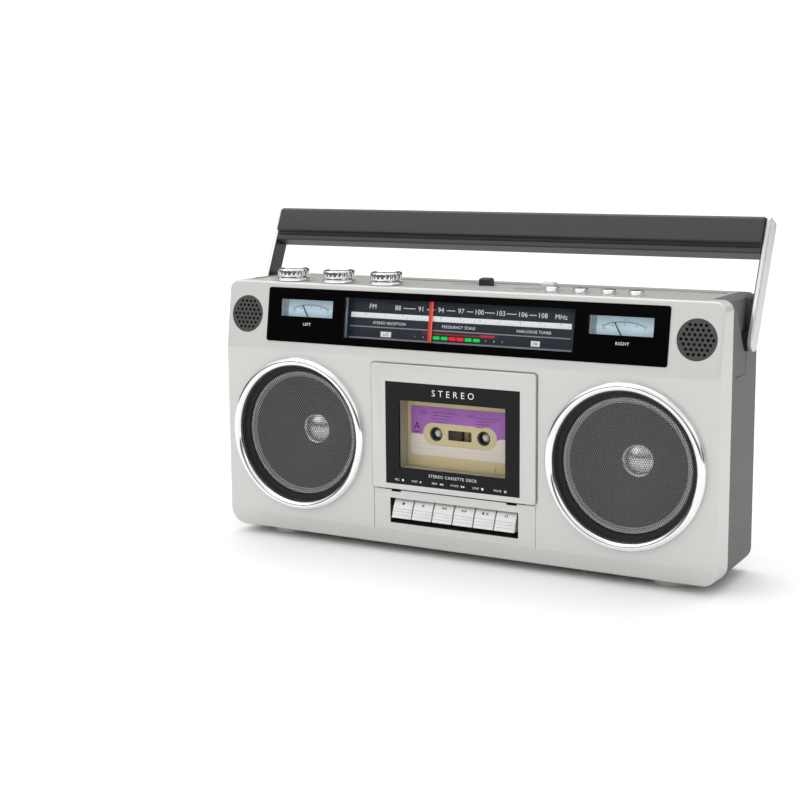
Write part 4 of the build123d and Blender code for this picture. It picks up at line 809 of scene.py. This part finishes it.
class RADIO_OT_tape(bpy.types.Operator):
    """The cassette: cream and purple label, moulded shell, reels with brown tape, and its tray."""
    bl_idname = "radio.tape"
    bl_label = "Cassette"

    def execute(self, context):
        tones, up = colours(), sizes().print_height
        shell = plain("cassette plastic", tones.beige, 0.42, 0, 0.3, 0.01, 0.05)
        coat_node(shell.material, "cassette_shell")
        tray = plain("tray plastic", tones.tray, 0.5, 0, 0.6, 0.03, 0.08)
        coat_node(tray.material, "cassette_holder")
        label = Finish("cassette label")
        fibre, blot = label.noise(0.4, 3), label.noise(16, 3)
        edge = 98.4 + label.x.ramp(33, 36) * 1.5
        upper = (label.z - edge).ramp(-0.15, 0.15)
        violet = label.blend(blot, shade(tones.purple, 0.82), shade(tones.purple, 1.15))
        paper = label.blend(fibre, shade(tones.cream, 0.95), shade(tones.cream, 1.03))
        label.set(Base_Color=label.blend(upper, paper, violet), Roughness=fibre * 0.15 + 0.5,
                  Normal=label.bump(fibre, 0.01))
        coat_node(label.material, "cassette_label")
        for node, x in (("supply_reel", -HUB_X), ("take_up_reel", HUB_X)):
            reel = Finish("reel " + node)
            out = reel.radius(x, HUB_Z)
            wound = reel.node("Math", {"operation": "SINE"}, {0: out * 9}) * 0.5 + 0.5
            tape = reel.blend(wound, "#2E211B", "#4A372D")
            reel.set(Base_Color=reel.blend(out < HUB_RADIUS, tape, "#4A4A4C"),
                     Roughness=wound * 0.1 + 0.35, Normal=reel.bump(wound, 0.01))
            coat_node(reel.material, node)
        ink_dark = ink("label ink", "#4B2A5E")
        bold = ink("label bold ink", "#1E1420")
        bars = [(row % 2 - 24.5, -2 - 3 * row, 116.6 - 2.6 * row, 117.0 - 2.6 * row) for row in range(4)]
        bars += [(14.5, 34.0 - 4 * row, 114.8 - 2.4 * row, 115.2 - 2.4 * row) for row in range(4)]
        words = [("SIDE", -32.5, 115.8, 2.8), ("DATE", 10.0, 116.0, 2.4)]
        add_piece("label_lines", joined(plates(bars, 0, up), lettering(words, 0, up)), LABEL, ink_dark,
                  "door")
        add_piece("label_side_mark", joined(lettering([("A", -38.5, 104.6, 8.0)], 0, up),
                                            plates([(-41.5, -35.5, 99.6, 100.2)], 0, up)),
                  LABEL, bold, "door")
        rule = [(-42, 42, 90.4 - 3.6 * row, 90.55 - 3.6 * row) for row in range(2)]
        faint = ink("faint ink", "#C9BDB4")
        add_piece("label_rules", plates(rule, 0, up * 0.5), LABEL, faint, "door")
        return {"FINISHED"}


class RADIO_OT_keys(bpy.types.Operator):
    """The six piano keys with rounded edges and a symbol on each sloping face."""
    bl_idname = "radio.keys"
    bl_label = "Piano keys"

    def execute(self, context):
        size = sizes()
        face = Finish("key plastic")
        grain, rub = face.noise(0.3, 2), face.noise(7, 3)
        face.set(Base_Color=face.blend(grain * 0.5 + rub * 0.5, "#CBCBC9", "#E4E4E2"),
                 Roughness=grain * 0.1 + rub * 0.12 + 0.28, Metallic=0.15, Coat_Weight=0.2,
                 Normal=face.bump(grain, 0.004))
        grey = ink("key ink", "#55565A")
        slope = plane((0, panel_y + 2.4 * MM, 41.9 * MM), (1, 0, 0), (0, 4.2, 7.4))
        up = size.print_height
        for number, name in enumerate(KEY_NAMES):
            node = name + "_key"
            softened(node, face.material, 0.35)
            x = (number - 2.5) * KEY_PITCH
            signs = {"record": [disc(x, 0, 1.25, 0, up)], "play": [plate(arrow(x, 0, 1, 1.3), 0, up)],
                     "rewind": arrows(x, -1, up), "forward": arrows(x, 1, up),
                     "stop": [plates([(x - 2.8, x - 0.8, -1, 1)], 0, up),
                              plate([(x + 0.6, -0.3), (x + 3.0, -0.3), (x + 1.8, 1.2)], 0, up),
                              plates([(x + 0.6, x + 3.0, -1.1, -0.7)], 0, up)],
                     "pause": [plates([(x - 1.1, x - 0.4, -1.2, 1.2), (x + 0.4, x + 1.1, -1.2, 1.2)], 0, up)]}
            add_piece(node + "_sign", joined(*signs[name]), slope, grey, node)
        return {"FINISHED"}


class RADIO_OT_knobs(bpy.types.Operator):
    """Turned chrome knobs: a base flange, a waisted skirt and a fluted crown with an index line."""
    bl_idname = "radio.knobs"
    bl_label = "Rotary knobs"

    def execute(self, context):
        profile = np.array([(11.0, 0.0), (13.3, 0.0), (13.6, 0.3), (13.6, 1.5), (13.2, 2.0), (12.3, 2.2),
                            (11.9, 2.6),
                            (11.8, 3.6), (12.0, 4.0), (12.6, 4.2), (12.95, 4.6), (13.0, 5.2), (13.0, 8.4),
                            (12.8, 9.1), (12.3, 9.7), (11.5, 10.0), (10.6, 10.0), (10.2, 9.8), (9.8, 9.5),
                            (4.0, 9.35), (1.0, 9.3)])
        flute = np.zeros(len(profile))
        flute[10:15] = (0.010, 0.018, 0.018, 0.014, 0.006)
        profile[:, 0] -= profile[:, 0] * flute
        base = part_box("volume_knob")[1].z - KNOB_HEIGHT * MM
        dark = ink("index ink", "#16171A")
        for node, x in KNOB_XS.items():
            place = plane((x * MM, KNOB_Y * MM, base), (1, 0, 0), (0, 1, 0))
            shape = turned(profile, 176, flute)
            stem = turned([(3.0, -8.8), (3.0, -0.2)], 32)
            knob = add_piece(node + "_turned", joined(shape, stem), place, bpy.data.materials["chrome"], node,
                             30)
            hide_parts(node)
            line = plates([(-0.45, 0.45, -9.4, -3.6)], 9.2, 9.62)
            add_piece(node + "_index", line, place, dark, node)
        return {"FINISHED"}


class RADIO_OT_handle(bpy.types.Operator):
    """The carrying handle: silver arms with dark inner sides and a fine-grained black grip."""
    bl_idname = "radio.handle"
    bl_label = "Handle"

    def execute(self, context):
        edge = sizes().edge
        arm = Finish("handle arm paint")
        flake, broad = arm.noise(0.22, 2), arm.noise(45, 3)
        inner = 1 - abs(arm.x).ramp(ARM_FACE - 0.3, ARM_FACE + 0.3)
        paint = arm.blend(flake * 0.5 + broad * 0.5, "#B9B9B7", "#DADAD8")
        arm.set(Base_Color=arm.blend(inner, paint, "#232324"), Metallic=0.75 - inner * 0.75,
                Roughness=flake * 0.1 + broad * 0.08 + 0.2, Normal=arm.bump(flake, 0.004))
        softened("handle_arm_left", arm.material, edge)
        softened("handle_arm_right", arm.material, edge)
        grip = Finish("grip plastic")
        grain, rub = grip.noise(0.7, 4), grip.noise(30, 4)
        grip.set(Base_Color=grip.blend(rub * 0.6 + grain * 0.4, "#262627", "#3D3D3D"),
                 Roughness=grain * 0.2 + rub * 0.12 + 0.34, Normal=grip.bump(grain, 0.05))
        softened("handle_grip", grip.material, 0.9)
        return {"FINISHED"}


class RADIO_OT_slides(bpy.types.Operator):
    """The two slide switches, a black one and a light one, and their dark bodies."""
    bl_idname = "radio.slides"
    bl_label = "Slide switches"

    def execute(self, context):
        black = plain("slide black", "#1D1D1E", 0.36, 0, 0.4, 0.02, 0.15)
        light = plain("slide light", "#C7C6C1", 0.36, 0.2, 0.4, 0.01, 0.05)
        softened("band_switch", black.material, 0.35)
        softened("function_switch", light.material, 0.35)
        paint("switch bodies", "#202021", 0.5, "switch_bodies")
        return {"FINISHED"}


class RADIO_OT_top_print(bpy.types.Operator):
    """Words and scale marks printed on the top panel beside the controls."""
    bl_idname = "radio.top_print"
    bl_label = "Top panel print"

    def execute(self, context):
        up = sizes().print_height
        dark = ink("top panel ink", "#2A2A2B")
        words = [("VOLUME", -162.0, -5.5, 3.4), ("TONE", -117.5, -5.5, 3.4), ("TUNING", -72.5, -5.5, 3.4)]
        words += [(name.upper(), x, -13.8, 2.7) for name, x in BUTTON_XS.items()]
        words += [("BAND", -6.0, 11.0, 3.0), ("AM", -17.0, -5.6, 2.6), ("FM", 3.3, -5.6, 2.6),
                  ("FUNCTION", 54.0, -2.2, 3.0), ("TAPE", 43.5, -17.6, 2.4), ("RADIO", 54.0, -17.6, 2.4)]
        parts = [lettering(words, 0, up)]
        for x in (KNOB_XS["volume_knob"], KNOB_XS["tone_knob"]):
            for angle in np.radians(np.linspace(-15, 195, 11)):
                centre = np.array([x + 15.4 * cos(angle), KNOB_Y + 15.4 * sin(angle)])
                along, across = np.array([cos(angle), sin(angle)]), np.array([-sin(angle), cos(angle)]) * 0.18
                outline = [centre - across, centre + along * 1.5 - across, centre + along * 1.5 + across,
                           centre + across]
                parts.append(plate(outline, 0, up))
        add_piece("top_print", joined(*parts), TOP, dark, "case")
        return {"FINISHED"}


class RADIO_OT_back_print(bpy.types.Operator):
    """Words on the back: the sockets and the battery hatch."""
    bl_idname = "radio.back_print"
    bl_label = "Back print"

    def execute(self, context):
        up = sizes().print_height
        pale = ink("back ink", "#B9B9B7")
        words = [("AC IN", -172, 51, 4.2), ("PHONES", 150, 43, 3.2), ("LINE IN", 166, 24.5, 3.2),
                 ("MIC", 182, 43, 3.2), ("BATTERIES", 0, 48, 5.0, "CENTER", 1.2)]
        add_piece("back_print", lettering(words, 0, up), BACK, pale, "case")
        return {"FINISHED"}


class RADIO_OT_inside(bpy.types.Operator):
    """Finishes of the deck, motor, board, cells and the other parts inside."""
    bl_idname = "radio.inside"
    bl_label = "Inner parts"

    def execute(self, context):
        paint("brushed steel", "#9A9B9C", 0.32, "deck_chassis motor_pulley capstan_flywheel head_bridge "
              "key_axle power_unit", 1.0, 0.4, 0.01, 0.12, stretch=(0.1, 1, 1))
        paint("zinc can", "#A7A9AA", 0.4, "deck_motor", 0.9, 2.0, 0.02, 0.15)
        paint("soft rubber", "#1C1C1C", 0.75, "pinch_roller drive_belt", 0, 0.5, 0.03, 0.2)
        paint("black moulding", "#1B1B1C", 0.42, "rear_sockets", 0, 0.4, 0.02, 0.2)
        paint("spindle white", "#D9D9D5", 0.42, "supply_spindle take_up_spindle", 0, 0.4, 0.01)
        board = Finish("circuit board")
        weave = board.noise(0.6, 2, (1, 1, 6))
        bricks = {"Vector": board.spot, "Scale": 90.0, "Mortar Size": 0.09}
        tracks = board.node("TexBrick", sockets=bricks, output=1)
        board.set(Base_Color=board.blend(tracks * 0.6 + weave * 0.3, "#1F5A34", "#6BA06A"),
                  Roughness=weave * 0.2 + 0.35, Normal=board.bump(tracks, 0.03))
        coat_node(board.material, "main_board")
        cell = Finish("cell jacket")
        scuff = cell.noise(5, 4)
        wrap = cell.node("Math", {"operation": "FRACT"}, {0: (cell.x + 120) / 60})
        cell.set(Base_Color=cell.blend(wrap > 0.72, cell.blend(scuff, "#1E1F22", "#3A3B40"),
                                       "#B68A3C"), Roughness=scuff * 0.2 + 0.28,
                 Metallic=(wrap > 0.72) * 0.7)
        coat_node(cell.material, "battery_cells")
        return {"FINISHED"}


class RADIO_OT_stage(bpy.types.Operator):
    """The pale floor, the soft lights, the white surround and the camera."""
    bl_idname = "radio.stage"
    bl_label = "Stage"

    def execute(self, context):
        scene, settings = context.scene, context.scene.radio_stage
        scene.view_settings.view_transform = "Standard"
        floor_finish = Finish("studio floor")
        cloud = floor_finish.noise(220, 2)
        floor_finish.set(Base_Color=floor_finish.blend(cloud, shade(colours().floor, 0.985), colours().floor),
                         Roughness=cloud * 0.1 + 0.6)
        points, faces = disc(0, 0, 9000, -10, 0, 96)
        mesh = bpy.data.meshes.new("floor")
        mesh.from_pydata((points * MM).tolist(), [], faces)
        floor = bpy.data.objects.new("floor", mesh)
        mesh.materials.append(floor_finish.material)
        scene.collection.objects.link(floor)

        world = bpy.data.worlds.new("surround")
        world.use_nodes = True
        links, nodes = world.node_tree.links, world.node_tree.nodes
        room = nodes["Background"]
        room.inputs[1].default_value = settings.sky
        place, parts, tones, seen, either, ray = (nodes.new("ShaderNode" + kind) for kind in (
            "TexCoord", "SeparateXYZ", "ValToRGB", "Background", "MixShader", "LightPath"))
        links.new(place.outputs["Generated"], parts.inputs[0])
        links.new(parts.outputs["Z"], tones.inputs[0])
        links.new(tones.outputs[0], room.inputs[0])
        steps = tones.color_ramp.elements
        for spot, grey in ((0.0, 0.65), (0.02, 0.12), (0.16, 0.20), (0.30, 1.1), (0.5, 1.7)):
            step = steps.new(spot)
            step.color = (grey, grey, grey, 1)
        steps.remove(steps[0])
        steps[-1].color = (1.7, 1.7, 1.7, 1)
        seen.inputs[0].default_value = (1, 1, 1, 1)
        for source, entry in ((ray.outputs["Is Camera Ray"], either.inputs[0]),
                              (room.outputs[0], either.inputs[1]), (seen.outputs[0], either.inputs[2]),
                              (either.outputs[0], nodes["World Output"].inputs[0])):
            links.new(source, entry)
        scene.world = world
        sun = bpy.data.lights.new("above", "SUN")
        sun.energy, sun.angle = settings.sun, radians(60)
        lamp = bpy.data.objects.new("above", sun)
        lamp.rotation_euler = (radians(-14), radians(-10), 0)
        scene.collection.objects.link(lamp)

        target = Vector((0, 0, 0.13))
        for name, power, width, height, place in (
                ("key", settings.key, 1.5, 1.1, (-1.1, -1.7, 1.35)),
                ("fill", settings.fill, 1.0, 1.4, (1.9, -0.9, 0.7))):
            light = bpy.data.lights.new(name, "AREA")
            light.shape, light.size, light.size_y, light.energy = "RECTANGLE", width, height, power
            lamp = bpy.data.objects.new(name, light)
            lamp.location = place
            lamp.rotation_euler = (target - Vector(place)).to_track_quat("-Z", "Y").to_euler()
            scene.collection.objects.link(lamp)

        turn, dip, roll = settings.turn, settings.dip, settings.roll
        forward = Vector((-sin(turn) * cos(dip), cos(turn) * cos(dip), -sin(dip)))
        right = Vector((cos(turn), sin(turn), 0))
        down = forward.cross(right)
        right, down = right * cos(roll) + down * sin(roll), down * cos(roll) - right * sin(roll)
        camera = bpy.data.objects.new("camera", bpy.data.cameras.new("camera"))
        camera.data.lens = settings.lens
        camera.data.clip_end = 50
        camera.matrix_world = Matrix.Translation(settings.camera_place) @ \
            Matrix((right, -down, -forward)).transposed().to_4x4()
        scene.collection.objects.link(camera)
        scene.camera = camera
        return {"FINISHED"}


class RADIO_PT_panel(bpy.types.Panel):
    """Lists the pieces in the sidebar of the 3D view."""
    bl_idname = "RADIO_PT_panel"
    bl_label = "Portable cassette radio"
    bl_space_type = "VIEW_3D"
    bl_region_type = "UI"
    bl_category = "Radio"

    def draw(self, context):
        for step in STEPS:
            self.layout.operator(step.bl_idname)
        for group in (context.scene.radio_colours, context.scene.radio_sizes, context.scene.radio_stage):
            box = self.layout.box()
            for name in group.__annotations__:
                box.prop(group, name)


GROUPS = {"radio_colours": RadioColours, "radio_sizes": RadioSizes, "radio_stage": RadioStage}
STEPS = (RADIO_OT_stage, RADIO_OT_case, RADIO_OT_chrome, RADIO_OT_speakers, RADIO_OT_dial, RADIO_OT_window,
         RADIO_OT_meters, RADIO_OT_door, RADIO_OT_tape, RADIO_OT_keys, RADIO_OT_knobs, RADIO_OT_slides,
         RADIO_OT_handle, RADIO_OT_top_print, RADIO_OT_back_print, RADIO_OT_inside)


def register():
    """Adds the groups to the scene and registers the steps and the panel."""
    for name, group in GROUPS.items():
        bpy.utils.register_class(group)
        setattr(bpy.types.Scene, name, bpy.props.PointerProperty(type=group))
    for kind in STEPS + (RADIO_PT_panel,):
        bpy.utils.register_class(kind)


def unregister():
    """Takes away what register added."""
    for kind in reversed(STEPS + (RADIO_PT_panel,)):
        bpy.utils.unregister_class(kind)
    for name, group in GROUPS.items():
        delattr(bpy.types.Scene, name)
        bpy.utils.unregister_class(group)


def main():
    register()
    for step in STEPS:
        group, name = step.bl_idname.split(".")
        getattr(getattr(bpy.ops, group), name)()


if __name__ == "__main__":
    main()
